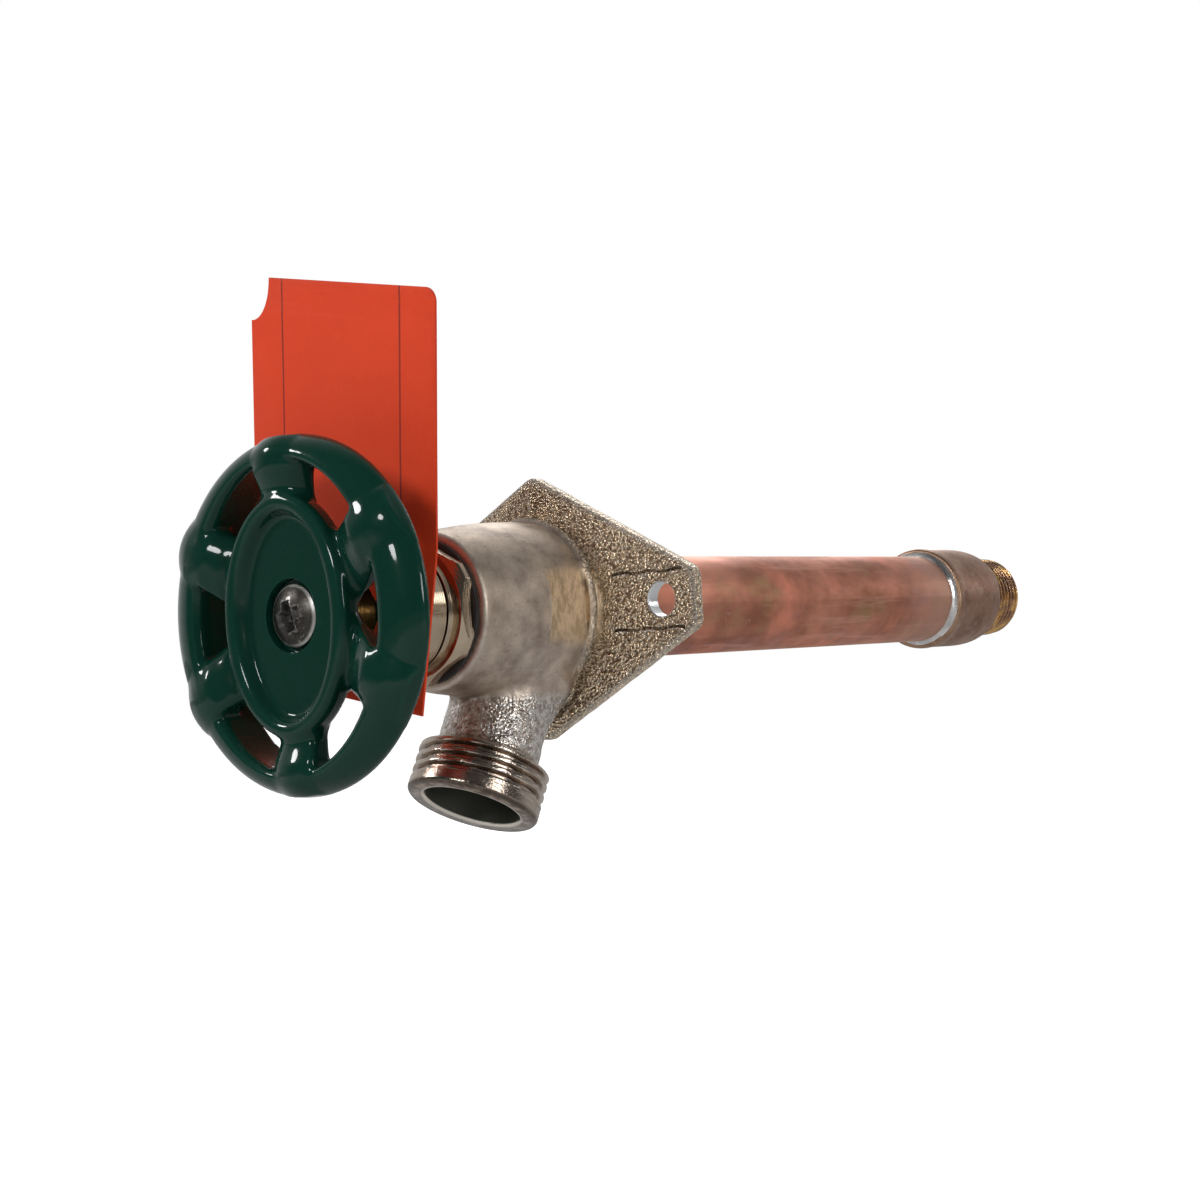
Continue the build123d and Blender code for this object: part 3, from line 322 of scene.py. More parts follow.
# %% Cut and join closed meshes
def machined(piece, tool, operation="DIFFERENCE"):
    """Cut the tool out of the piece, or join it on, and throw the tool away."""
    step = piece.modifiers.new("machining", "BOOLEAN")
    step.operation = operation
    step.solver = "MANIFOLD"
    step.object = tool
    graph = bpy.context.evaluated_depsgraph_get()
    shape = bpy.data.meshes.new_from_object(piece.evaluated_get(graph))
    piece.modifiers.clear()
    piece.data = shape
    bpy.data.objects.remove(tool)


def rolled(piece, width, sharper_than):
    """Roll over the corners that are sharper than an angle in degrees."""
    corner = piece.modifiers.new("rolled corners", "BEVEL")
    corner.width = width * MM
    corner.segments = 2
    corner.limit_method = "ANGLE"
    corner.angle_limit = math.radians(sharper_than)


def finished(piece, body, node, material, crease=38.0):
    """Smooth shading with sharp creases, one material, and the piece's place in the mechanism."""
    for face in piece.data.polygons:
        face.use_smooth = True
    piece.data.set_sharp_from_angle(angle=math.radians(crease))
    piece.data.materials.clear()
    piece.data.materials.append(material)
    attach(piece, body)
    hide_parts(node)
    print(piece.name, "has", len(piece.data.polygons), "faces and rides on", body)


print("cutting, rolling and finishing helpers ready")

# %% [markdown]
# ## Unevenness
# Nothing from a sand mould is even. A lattice of fixed random heights, blended between its points, gives a
# gentle waviness of any size, and the same one at every run because its seed is fixed.

# %% A lattice of gentle bumps
LATTICE = 24
lattice_heights = np.random.default_rng(11).uniform(-1, 1, (LATTICE,) * 3)


def waviness(x, y, z, size):
    """Smooth bumps between -1 and 1, about as wide as size."""
    place = np.stack([x, y, z], -1) / size
    corner = np.floor(place).astype(int)
    part = place - corner
    part = part * part * (3 - 2 * part)
    result = 0
    for dx in (0, 1):
        for dy in (0, 1):
            for dz in (0, 1):
                share = (np.abs(1 - dx - part[..., 0]) * np.abs(1 - dy - part[..., 1])
                         * np.abs(1 - dz - part[..., 2]))
                spot = (corner + (dx, dy, dz)) % LATTICE
                result = result + share * lattice_heights[spot[..., 0], spot[..., 1], spot[..., 2]]
    return result


print("lattice of", LATTICE ** 3, "heights")

# %% [markdown]
# ## Nodes with less typing
# A finish in Blender is a small graph. These helpers place a node, feed it, and return the socket that
# matters, so that each material below reads as a list of what the surface has.

# %% Place, feed and start graphs
def put(tree, kind, feeds=None, **settings):
    """Add a node, set its properties and feed its inputs with sockets or plain values."""
    node = tree.nodes.new("ShaderNode" + kind)
    for key, value in settings.items():
        setattr(node, key, value)
    for key, value in (feeds or {}).items():
        if isinstance(value, bpy.types.NodeSocket):
            tree.links.new(value, node.inputs[key])
        else:
            node.inputs[key].default_value = value
    return node


def feed(tree, socket, value):
    """Link a value into a socket."""
    tree.links.new(value, socket)


def new_finish(name, roughness=0.4, metallic=0.0, **plain):
    """A material with its principled shader; plain values go straight onto the shader's sockets."""
    material = bpy.data.materials.new(name)
    material.use_nodes = True
    tree = material.node_tree
    tree.nodes.clear()
    shader = put(tree, "BsdfPrincipled", {"Roughness": roughness, "Metallic": metallic})
    for key, value in plain.items():
        shader.inputs[key.replace("_", " ")].default_value = value
    output = tree.nodes.new("ShaderNodeOutputMaterial")
    feed(tree, output.inputs[0], shader.outputs[0])
    return material, tree, shader.inputs


def raise_surface(tree, shader, height, distance):
    """Send a height through a bump node into the shader's normal."""
    bump = put(tree, "Bump", {"Height": height, "Distance": distance, "Strength": 1.0})
    feed(tree, shader["Normal"], bump.outputs[0])


print("graph helpers ready")


# %% Values and masks
def worked_out(tree, operation, first, second=0.0):
    """One step of arithmetic, by the Math node's own name for it."""
    return put(tree, "Math", {0: first, 1: second}, operation=operation).outputs[0]


def plus(tree, first, second):
    """The sum of two values."""
    return worked_out(tree, "ADD", first, second)


def minus(tree, first, second):
    """The first value less the second."""
    return worked_out(tree, "SUBTRACT", first, second)


def times(tree, *values):
    """The product of values. Of masks, it is where all of them are on."""
    result = values[0]
    for value in values[1:]:
        result = worked_out(tree, "MULTIPLY", result, value)
    return result


def fade(tree, value, low, high, start=0.0, end=1.0):
    """Stretch a value from one range to another, and keep it there."""
    return put(tree, "MapRange", {"Value": value, "From Min": low, "From Max": high, "To Min": start,
                                  "To Max": end}).outputs[0]


def fade_mm(tree, length, low, high):
    """A mask that comes on between two lengths, given in millimetres."""
    return fade(tree, length, low * MM, high * MM)


def off_line(tree, x, z):
    """How far a point lies from a line along the tube, from its two distances across."""
    flat = put(tree, "CombineXYZ", {0: x, 1: z}).outputs[0]
    return put(tree, "VectorMath", {0: flat}, operation="LENGTH").outputs["Value"]


def noise(tree, place, scale, detail=3.0, roughness=0.55, stretch=None):
    """A noise pattern, as a value."""
    if stretch is not None:
        place = put(tree, "Mapping", {"Vector": place, "Scale": stretch}).outputs[0]
    return put(tree, "TexNoise", {"Vector": place, "Scale": scale, "Detail": detail,
                                  "Roughness": roughness}).outputs["Fac"]


print("value helpers ready")


# %% Colours in layers
def shade(red, green, blue):
    """A colour as the shader wants it."""
    return (red, green, blue, 1.0)


def mixed(tree, share, first, second):
    """Two colours, mixed by a share."""
    return put(tree, "Mix", {0: share, 6: first, 7: second}, data_type="RGBA").outputs[2]


def layered(tree, base, *layers):
    """Lay colours over a base. Each layer is a mask, how strongly it covers there, and its colour."""
    for mask, strength, colour in layers:
        base = mixed(tree, mask if strength == 1 else times(tree, mask, strength), base, colour)
    return base


print("colour helpers ready")

# %% [markdown]
# ## Effects that several finishes share
# Sand grain, soft patches of tarnish, lathe rings, scratches, the edges that hands rub and the hollows
# between faces turn up on many pieces, each time at another size and strength. Each is a node group with its
# own inputs, made once. A group only gives out masks and heights; what they do to colour and gloss is decided
# in each material, and several materials darken the hollows as painted shade.

# %% Start a group, and use one
def effect(name, inputs, outputs):
    """Start a node group with named inputs and outputs."""
    tree = bpy.data.node_groups.new(name, "ShaderNodeTree")
    for socket, value in inputs.items():
        tree.interface.new_socket(socket, in_out="INPUT", socket_type="NodeSocketFloat").default_value = value
    for socket in outputs:
        tree.interface.new_socket(socket, in_out="OUTPUT", socket_type="NodeSocketFloat")
    given, result = tree.nodes.new("NodeGroupInput"), tree.nodes.new("NodeGroupOutput")
    place = put(tree, "TexCoord").outputs["Object"]
    return tree, given.outputs, result.inputs, place


def per_metre(tree, size_mm):
    """The noise scale that gives marks of a size in millimetres."""
    return worked_out(tree, "DIVIDE", 1 / MM, size_mm)


def use(tree, group, **values):
    """Place a node group in a material and set its inputs."""
    node = tree.nodes.new("ShaderNodeGroup")
    node.node_tree = group
    for key, value in values.items():
        node.inputs[key.replace("_", " ")].default_value = value
    return node.outputs


print("group helpers ready")

# %% Sand grain from the mould
grain, given, result, place = effect("sand grain", {"Size mm": 0.8, "Sharpness": 0.5}, ("Height", "Pits"))
scale = per_metre(grain, given["Size mm"])
cells = put(grain, "TexVoronoi", {"Vector": place, "Scale": scale, "Smoothness": 0.6},
            feature="SMOOTH_F1").outputs["Distance"]
fine = noise(grain, place, scale, 3.0, 0.6)
pits = fade(grain, cells, 0.15, 0.75)
feed(grain, result["Height"], plus(grain, times(grain, pits, given["Sharpness"]), fine))
feed(grain, result["Pits"], pits)
print("made the group", grain.name)

# %% Patches of tarnish
patches, given, result, place = effect("patches", {"Size mm": 12.0, "Edge": 0.12, "Level": 0.5}, ("Mask",))
cloud = noise(patches, place, per_metre(patches, given["Size mm"]), 4.0, 0.6)
low = minus(patches, given["Level"], given["Edge"])
high = plus(patches, given["Level"], given["Edge"])
feed(patches, result["Mask"], fade(patches, cloud, low, high))
print("made the group", patches.name)

# %% Rings left by a lathe tool
rings, given, result, place = effect("lathe rings", {"Spacing mm": 0.25, "Unevenness": 0.3}, ("Height",))
station = put(rings, "SeparateXYZ", {0: place}).outputs["Y"]
wobble = times(rings, noise(rings, place, 400.0, 2.0), given["Unevenness"])
turns = worked_out(rings, "DIVIDE", times(rings, station, 1 / MM), given["Spacing mm"])
wave = worked_out(rings, "SINE", times(rings, plus(rings, turns, wobble), 2 * math.pi))
feed(rings, result["Height"], fade(rings, wave, -1, 1))
print("made the group", rings.name)

# %% Fine scratches
scratches, given, result, place = effect("scratches", {"Size mm": 6.0, "Share": 0.3}, ("Mask",))
drift = put(scratches, "TexNoise", {"Vector": place, "Scale": 60.0}).outputs["Color"]
bent_place = put(scratches, "VectorMath", {0: place, 1: drift, 2: (0.01, 0.02, 0.0)},
                 operation="MULTIPLY_ADD").outputs[0]
long_noise = noise(scratches, bent_place, per_metre(scratches, given["Size mm"]), 5.0, 0.75,
                   stretch=(1.0, 7.0, 2.2))
top = minus(scratches, 0.78, times(scratches, given["Share"], 0.3))
feed(scratches, result["Mask"], fade(scratches, long_noise, minus(scratches, top, 0.05), top))
print("made the group", scratches.name)

# %% Rubbed edges, and hollows for painted shade
edges, given, result, place = effect("rubbed edges and hollows", {"Reach": 0.06, "Break up mm": 1.5}, ("Edge", "Hollow"))
bend = put(edges, "NewGeometry").outputs["Pointiness"]
broken = fade(edges, noise(edges, place, per_metre(edges, given["Break up mm"])), 0.3, 0.7, 0.4, 1.0)
rubbed = fade(edges, bend, 0.51, plus(edges, 0.5, given["Reach"]))
feed(edges, result["Edge"], times(edges, rubbed, broken))
# Hollow marks concave places; the casting, the inlet and the screw darken them there as painted shade
feed(edges, result["Hollow"], fade(edges, bend, 0.49, minus(edges, 0.5, given["Reach"])))
print("made the group", edges.name)

# %% [markdown]
# ## The body casting
# On the real tap one brass casting is the flange against the wall, the barrel that holds the bonnet, and the
# neck of the hose nozzle. The flange is a long diamond cut off at its ends, with a shallow band that runs
# through both screw holes. The barrel swells slightly towards the wall, and one side of it is ground flat.
# It is written as distances, so that neck, barrel and flange melt into each other as in the mould.

# %% Sizes of the flange, in millimetres
FLANGE_T = 3.2
FLANGE_APEX = 27.8
FLANGE_POINT = 52.0
FLANGE_HALF_W = 41.2
FLANGE_EDGE = 0.75
CORNER_ROUND = 3.1
BAND_HALF_H = 5.7
BAND_DEPTH = 0.4
SCREW_SPACING = 66.0
RIDGE_AT = 20.4
RIDGE_HALF_RUN = 3.6
RIDGE_R = 0.95
slope_length = math.hypot(FLANGE_POINT, FLANGE_APEX)
inner_apex = FLANGE_APEX - CORNER_ROUND * slope_length / FLANGE_POINT
inner_w = FLANGE_HALF_W - CORNER_ROUND
inner_side = inner_apex * (1 - inner_w / (inner_apex * FLANGE_POINT / FLANGE_APEX))
flange_corners = [(0, inner_apex), (inner_w, inner_side), (inner_w, -inner_side),
                  (0, -inner_apex), (-inner_w, -inner_side), (-inner_w, inner_side)]
print("flange is", 2 * FLANGE_HALF_W, "by", 2 * FLANGE_APEX, "mm")

# %% Sizes of the barrel and the neck
BODY_DEPTH = 36.0
COLLAR_R = 15.7
BARREL_R = 18.0
BARREL_BELLY = 0.8
BARREL_ROOT_RUN = 2.6
FOOT_AT = FLANGE_T + 3.3
FOOT_OUT = 0.25
FOOT_BEAD_R = 0.75
FLAT_AT = 16.6
FLAT_REACH = 18.5
FLAT_HALF_H = 9.5
FLAT_SWELL = 0.25
NOZZLE_TILT = math.radians(28.0)
NOZZLE_START = np.array((0.0, -5.5, 0.0))
NOZZLE_WAY = np.array((0.0, -math.sin(NOZZLE_TILT), -math.cos(NOZZLE_TILT)))
NOZZLE_LENGTH = 44.5
NECK_R = 10.4
NECK_ROOT_R = 13.2
NECK_FROM, NECK_TO = 4.0, 33.6
NECK_FLARE_RUN = 10.0
NECK_FLARE_END = 26.0
HAMMERED_FROM = 15.0
HAMMERED_RUN = 4.0
print("nozzle lip centre", np.round(NOZZLE_START + NOZZLE_WAY * NOZZLE_LENGTH, 2))


# %% The casting's parts as distances
def flange(x, y, z):
    """The plate against the wall, with the low ridge above the barrel."""
    plate = slab(outline_distance(x, z, flange_corners) - CORNER_ROUND,
                 np.abs(y + FLANGE_T / 2) - FLANGE_T / 2, FLANGE_EDGE)
    off_ridge = np.hypot(x + 0.2, y + FLANGE_T - 0.2)
    ridge = np.hypot(off_ridge, np.maximum(0, np.abs(z - RIDGE_AT) - RIDGE_HALF_RUN)) - RIDGE_R
    return melt(plate, ridge, 0.4)


def barrel(x, y, z):
    """The drum, wider towards the wall."""
    run = np.clip((y + BODY_DEPTH) / (BODY_DEPTH - FLANGE_T - BARREL_ROOT_RUN), 0, 1)
    wall = COLLAR_R + (BARREL_R - COLLAR_R) * run + 4 * BARREL_BELLY * run * (1 - run)
    return slab(np.hypot(x, z) - wall, np.maximum(-BODY_DEPTH - y, y + FLANGE_T / 2), 0.8)


def ground_flat(x, y, z):
    """What the grinding wheel took from the barrel's right side."""
    swell = FLAT_SWELL * (z / FLAT_HALF_H) ** 2
    return np.maximum(np.maximum(FLAT_AT - swell - x, np.abs(z) - FLAT_HALF_H), -y - FLAT_REACH)


def neck(x, y, z):
    """The nozzle's neck: flared at its root and hammered-looking below."""
    along = (y - NOZZLE_START[1]) * NOZZLE_WAY[1] + z * NOZZLE_WAY[2]
    across_y, across_z = y - NOZZLE_START[1] - along * NOZZLE_WAY[1], z - along * NOZZLE_WAY[2]
    off = np.sqrt(x * x + across_y ** 2 + across_z ** 2)
    run = np.clip((NECK_FLARE_END - along) / NECK_FLARE_RUN, 0, 1)
    wall = NECK_R + (NECK_ROOT_R - NECK_R) * run * run
    hammered = np.clip((along - HAMMERED_FROM) / HAMMERED_RUN, 0, 1)
    wall = wall + hammered * (0.16 * waviness(x, y, z, 1.35) + 0.12 * waviness(x, y, z, 2.9))
    return slab(off - wall, np.maximum(NECK_FROM - along, along - NECK_TO), 0.5)


def body_solid(x, y, z):
    """Flange, drum, the fine bead round the drum's foot, and neck, melted together."""
    drum = common(barrel(x, y, z), -ground_flat(x, y, z), 0.35)
    body = melt(flange(x, y, z), drum, 3.2)
    foot = np.hypot(np.hypot(x, z) - BARREL_R - FOOT_OUT, y + FOOT_AT) - FOOT_BEAD_R
    body = melt(body, foot, 0.9)
    body = melt(body, neck(x, y, z), 1.6)
    body = body - 0.05 * waviness(x, y, z, 3.6) - 0.03 * waviness(x, y, z, 1.5)
    return common(common(body, y, 0.3), np.abs(x) - FLANGE_HALF_W, 0.1)


body_casting = cast_piece("body_casting_skin", body_solid, (-43, -38, -42), (43, 2, 30), 0.6)

# %% [markdown]
# ## The hose thread
# A thread is one groove wound round and round, so each crest climbs to the next and the crests are not
# quite square to the lip. A stack of plain rings would miss that. The helper makes a tube of fine rings
# whose radius at each angle follows the groove; the groove starts and ends gently, as a tool leaves it.

# %% A helper for screw threads
FLANK_END = 0.72
GROOVE_EASE = 0.35


def threaded(name, ends, crest, pitch, depth, groove, origin, way, crest_share, fine=14, around=160):
    """A closed rod between two stations with one winding groove; crest gives the radius at a station."""
    stations = np.arange(ends[0], ends[1] + 1e-6, pitch / fine)
    angles = np.linspace(0, 2 * math.pi, around, endpoint=False)
    station, angle = np.meshgrid(stations, angles, indexing="ij")
    turn = (station - groove[0]) / pitch - angle / (2 * math.pi)
    phase = np.abs(turn - np.round(turn)) * 2
    land = np.clip((phase - crest_share) / (FLANK_END - crest_share), 0, 1)
    sunk = depth * land * land * (3 - 2 * land)
    sunk = sunk * np.clip((station - groove[0]) / (GROOVE_EASE * pitch), 0, 1)
    sunk = sunk * np.clip((groove[1] - station) / (GROOVE_EASE * pitch), 0, 1)
    radius = crest(station) - sunk
    way, circle = circle_about(way, around)
    points = (np.array(origin) + station[..., None] * way + radius[..., None] * circle).reshape(-1, 3)
    rows = [list(range(row * around, (row + 1) * around)) for row in range(len(stations))]
    faces = [(near[a], near[(a + 1) % around], far[(a + 1) % around], far[a])
             for near, far in zip(rows, rows[1:]) for a in range(around)]
    faces += [tuple(rows[0])[::-1], tuple(rows[-1])]
    return outward(mesh_object(name, points, faces))


print("thread helper ready")

# %% The threaded nozzle end
HOSE_R = 13.49
HOSE_PITCH = 2.209
HOSE_THREAD_DEPTH = 1.15
HOSE_LIP = 3.2
LIP_CHAMFER = 1.1
SHOULDER_RUN = 2.0
thread_end = NOZZLE_LENGTH - HOSE_LIP
thread_start = thread_end - 3 * HOSE_PITCH


def hose_crest(station):
    """Radius of the thread's crests, with the shoulder behind and the lip's chamfer in front."""
    root = NECK_R - 0.5
    shoulder = root + (HOSE_R - root) * np.clip((station - thread_start + SHOULDER_RUN) / SHOULDER_RUN, 0, 1)
    lip = np.clip((station - NOZZLE_LENGTH + LIP_CHAMFER) / LIP_CHAMFER, 0, 1)
    return shoulder - LIP_CHAMFER * (1 - np.sqrt(np.maximum(1 - lip * lip, 0)))


hose_thread = threaded("hose_thread", (thread_start - 3.4, NOZZLE_LENGTH), hose_crest, HOSE_PITCH,
                       HOSE_THREAD_DEPTH, (thread_start, thread_end + 0.6), NOZZLE_START, NOZZLE_WAY, 0.22)
machined(body_casting, hose_thread, "UNION")
print("hose thread runs from", round(thread_start, 2), "to", round(thread_end, 2), "mm down the nozzle")

# %% [markdown]
# ## Machining the casting
# The bores are cut after casting, as in the works: the main bore for tube and bonnet, the nozzle's bore with
# its cone from the drill, the water passage between them, and the two holes for the wall screws. Their radii
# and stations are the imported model's, so that every inner piece still fits. Cutters run past the metal's
# faces, because a cut that ends flush with a face leaves a skin.

# %% A helper for straight bars
def prism(name, outline, near, far, far_outline=None):
    """A bar along the tube's axis from an outline of (x, z) points; a second outline makes it taper."""
    count = len(outline)
    points = [(x, near, z) for x, z in outline] + [(x, far, z) for x, z in far_outline or outline]
    faces = [tuple(range(count)), tuple(range(2 * count - 1, count - 1, -1))]
    faces += [(a, (a + 1) % count, count + (a + 1) % count, count + a) for a in range(count)]
    return outward(mesh_object(name, points, faces))


print("bar helper ready")

# %% Bore for the tube and the bonnet
TUBE_R = 11.1125
TUBE_BORE_R = TUBE_R - 1.14
SOCKET_R = 11.15
SOCKET_DEPTH = 8.0
SOLDER_CONE_R = 12.45
SOLDER_CONE_RUN = 1.3
STOP_END = 9.0
VENT_ROOM_R = 12.4
VENT_ROOM_END = 25.9
BONNET_BORE_R = 11.65
main_bore = [(0, 1.0), (SOLDER_CONE_R, 1.0), (SOLDER_CONE_R, 0.0), (SOCKET_R, -SOLDER_CONE_RUN),
             (SOCKET_R, -SOCKET_DEPTH), (TUBE_BORE_R, -SOCKET_DEPTH), (TUBE_BORE_R, -STOP_END),
             (VENT_ROOM_R, -STOP_END), (VENT_ROOM_R, -VENT_ROOM_END), (BONNET_BORE_R, -VENT_ROOM_END),
             (BONNET_BORE_R, -BODY_DEPTH - 1.5), (0, -BODY_DEPTH - 1.5)]
machined(body_casting, spun("main_bore", main_bore))
print("bored for a tube of", 2 * TUBE_R, "mm")

# %% Bore the nozzle and its water passage
NOZZLE_BORE_R = 9.73
NOZZLE_BORE_END = 26.5
PASSAGE_R = 5.5
PASSAGE_AT = 15.0
nozzle_bore = [(0, NOZZLE_LENGTH + 1.0), (10.6, NOZZLE_LENGTH + 1.0), (10.35, NOZZLE_LENGTH),
               (10.05, NOZZLE_LENGTH - 0.3), (NOZZLE_BORE_R, NOZZLE_LENGTH - 0.9),
               (NOZZLE_BORE_R, NOZZLE_BORE_END), (PASSAGE_R, NOZZLE_BORE_END - 2.5),
               (0, NOZZLE_BORE_END - 2.5)]
machined(body_casting, spun("nozzle_bore", nozzle_bore, NOZZLE_START, NOZZLE_WAY))
passage = [(0, 0), (PASSAGE_R, 0), (PASSAGE_R, 24.4), (0, 24.4)]
machined(body_casting, spun("passage", passage, (0, -PASSAGE_AT, 0), (0, 0, -1), 48))
print("nozzle bored", round(NOZZLE_LENGTH - NOZZLE_BORE_END, 1), "mm deep")

# %% Drill the screw holes and draw the mould lines
SCREW_HOLE_R = 3.4
SCREW_MOUTH_R = 3.6
LINE_HALF_W = 0.32
LINE_WAVE = 0.18
screw_hole = [(0, -5.0), (SCREW_MOUTH_R, -5.0), (SCREW_MOUTH_R, -3.15), (SCREW_HOLE_R, -2.9),
              (SCREW_HOLE_R, 1.0), (0, 1.0)]
for side in (-1, 1):
    machined(body_casting, spun("screw_hole", screw_hole, (side * SCREW_SPACING / 2, 0, 0), (0, 1, 0), 64))
    for level in (-BAND_HALF_H, BAND_HALF_H):
        path = [(side * run, level + LINE_WAVE * math.sin(run * 0.9 + level))
                for run in np.arange(20.6, 38.7, 1.0)]
        line = [(x, z + LINE_HALF_W) for x, z in path] + [(x, z - LINE_HALF_W) for x, z in path[::-1]]
        machined(body_casting, prism("mould_line", line, -FLANGE_T - 0.6, -FLANGE_T + BAND_DEPTH))
print("machined casting has", len(body_casting.data.polygons), "faces")

# %% [markdown]
# ## Where the casting has which skin
# The flange keeps the mould's coarse, glittering grain, the barrel was tumbled smooth, the neck looks
# hammered, and the ground flat is bare and brassy. The plating over all of it is one, so it is one material.
# Masks made from the place on the piece say where each skin starts. They are worked out from distances to
# the tube's axis, to the nozzle's axis and to the screw holes, so nothing has to be painted.

# %% Distances on the casting
plated, tree, shader = new_finish("nickel over rough brass", metallic=1.0)
place = put(tree, "TexCoord").outputs["Object"]
part = put(tree, "SeparateXYZ", {0: place}).outputs
across = worked_out(tree, "ABSOLUTE", part["X"])
up_or_down = worked_out(tree, "ABSOLUTE", part["Z"])
from_axis = off_line(tree, part["X"], part["Z"])
from_screw = off_line(tree, minus(tree, across, SCREW_SPACING / 2 * MM), part["Z"])
nozzle_run = plus(tree, times(tree, part["Z"], -math.cos(NOZZLE_TILT)),
                  times(tree, plus(tree, part["Y"], -NOZZLE_START[1] * MM), -math.sin(NOZZLE_TILT)))
from_start = put(tree, "VectorMath", {0: place, 1: NOZZLE_START * MM}, operation="DISTANCE").outputs["Value"]
off_nozzle = worked_out(tree, "SQRT", minus(tree, times(tree, from_start, from_start),
                                            times(tree, nozzle_run, nozzle_run)))
print("distances for", plated.name)

# %% Masks on the casting
on_front = times(tree, fade_mm(tree, part["Y"], -7.4, -6.4), fade_mm(tree, from_axis, 17.6, 18.4))
on_back = times(tree, fade_mm(tree, part["Y"], -3.0, -2.2), fade_mm(tree, from_axis, 12.5, 12.9))
on_flange = worked_out(tree, "MAXIMUM", on_front, on_back)
off_flange = minus(tree, 1.0, on_flange)
on_neck = times(tree, fade_mm(tree, part["Z"], -16.8, -18.8), fade_mm(tree, part["Y"], -4.5, -6.0))
on_thread = fade_mm(tree, nozzle_run, 32.2, 33.4)
on_lip = fade_mm(tree, nozzle_run, 43.2, 44.0)
in_bore = times(tree, fade_mm(tree, off_nozzle, 9.9, 9.8), fade_mm(tree, nozzle_run, 20.0, 21.0))
in_screw_hole = fade_mm(tree, from_screw, 3.64, 3.54)
on_flat = times(tree, fade_mm(tree, part["X"], 16.1, 16.6), fade_mm(tree, part["Y"], -19.2, -18.0),
                fade_mm(tree, up_or_down, 10.5, 6.5), fade_mm(tree, from_axis, 21.5, 20.0))
print("masks for flange, neck, thread, lip, bore, screw holes and flat")

# %% [markdown]
# ## Colour and gloss of the casting
# Nickel was laid thinly on the brass, so it looks warm grey, with gold and brown showing through. On the
# flange each grain of sand left a pit: its floor is painted dark brown as shade, its rim is gold, and bright
# dots scattered over the flange are painted glints. The lip has a painted highlight round its bore and a
# painted shadow round its outside, and the nozzle's bore is painted dark as shade. Layers of colour, each
# with its mask, come in this order: plating, casting skin, machining, rubbing, painted shade in hollows,
# the lip's painted light and the bore's painted shade. The grain is raised by a bump, as it is far too
# fine for the mesh.

# %% Colours of the casting
coarse = use(tree, grain, Size_mm=0.55, Sharpness=1.3)
smooth = use(tree, grain, Size_mm=0.35, Sharpness=0.5)
tarnish = use(tree, patches, Size_mm=7.0, Edge=0.16, Level=0.5)["Mask"]
warm_patch = use(tree, patches, Size_mm=14.0, Edge=0.12, Level=0.52)["Mask"]
edge_and_hollow = use(tree, edges, Reach=0.05, Break_up_mm=1.2)
nickel = mixed(tree, tarnish, shade(0.35, 0.28, 0.235), shade(0.74, 0.64, 0.56))
# where the grain's relief is low, the dark brown is painted shade; the raised grains keep the gold
gold = mixed(tree, fade(tree, coarse["Pits"], 0.35, 0.95), shade(0.96, 0.78, 0.56), shade(0.28, 0.185, 0.110))
beaten = fade(tree, noise(tree, place, 900.0), 0.35, 0.65)
silver = mixed(tree, beaten, shade(0.36, 0.30, 0.25), shade(0.80, 0.77, 0.73))
thread_metal = mixed(tree, tarnish, shade(0.34, 0.27, 0.22), shade(0.52, 0.44, 0.37))
mottle = fade(tree, noise(tree, place, 420.0, 4.0, 0.65), 0.42, 0.60)
lip_mottle_and_painted_rings = layered(tree, mixed(tree, mottle, shade(0.15, 0.115, 0.090), shade(0.42, 0.345, 0.285)),
                    # painted highlight: a bright ring round the bore
                    (fade_mm(tree, off_nozzle, 10.7, 10.1), 1, shade(0.80, 0.74, 0.65)),
                    # painted shadow: a dark ring round the lip's outside
                    (fade_mm(tree, off_nozzle, 11.9, 12.7), 0.75, shade(0.10, 0.075, 0.06)))
swirl = noise(tree, place, 330.0, 4.0, 0.7, stretch=(1.0, 1.6, 0.8))
brassy = mixed(tree, fade(tree, swirl, 0.42, 0.58), shade(0.52, 0.38, 0.24), shade(0.80, 0.64, 0.44))
# painted glints: bright dots over the flange that stand in for light catching the grain
painted_glints = fade(tree, noise(tree, place, 1500.0, 2.0), 0.58, 0.66)
speck = fade(tree, noise(tree, place, 1700.0), 0.42, 0.30)
feed(tree, shader["Base Color"], layered(
    tree, nickel,
    (warm_patch, 0.35, shade(0.52, 0.41, 0.27)),
    (on_flange, 1, gold),
    (on_neck, 1, silver),
    (on_thread, 1, thread_metal),
    (times(tree, on_flange, painted_glints), 0.8, shade(1.0, 0.94, 0.80)),
    (times(tree, speck, off_flange), 0.35, shade(0.17, 0.14, 0.12)),
    (on_flat, 0.95, brassy),
    (edge_and_hollow["Edge"], 0.7, shade(0.72, 0.68, 0.62)),
    # painted shade: concave places and creases of the casting are darkened
    (edge_and_hollow["Hollow"], 0.75, shade(0.13, 0.09, 0.06)),
    (on_lip, 1, lip_mottle_and_painted_rings),
    (in_screw_hole, 1, shade(0.80, 0.81, 0.82)),
    # painted shade: the nozzle's bore is darkened to near black
    (in_bore, 1, shade(0.085, 0.088, 0.072))))
print("coloured", plated.name)

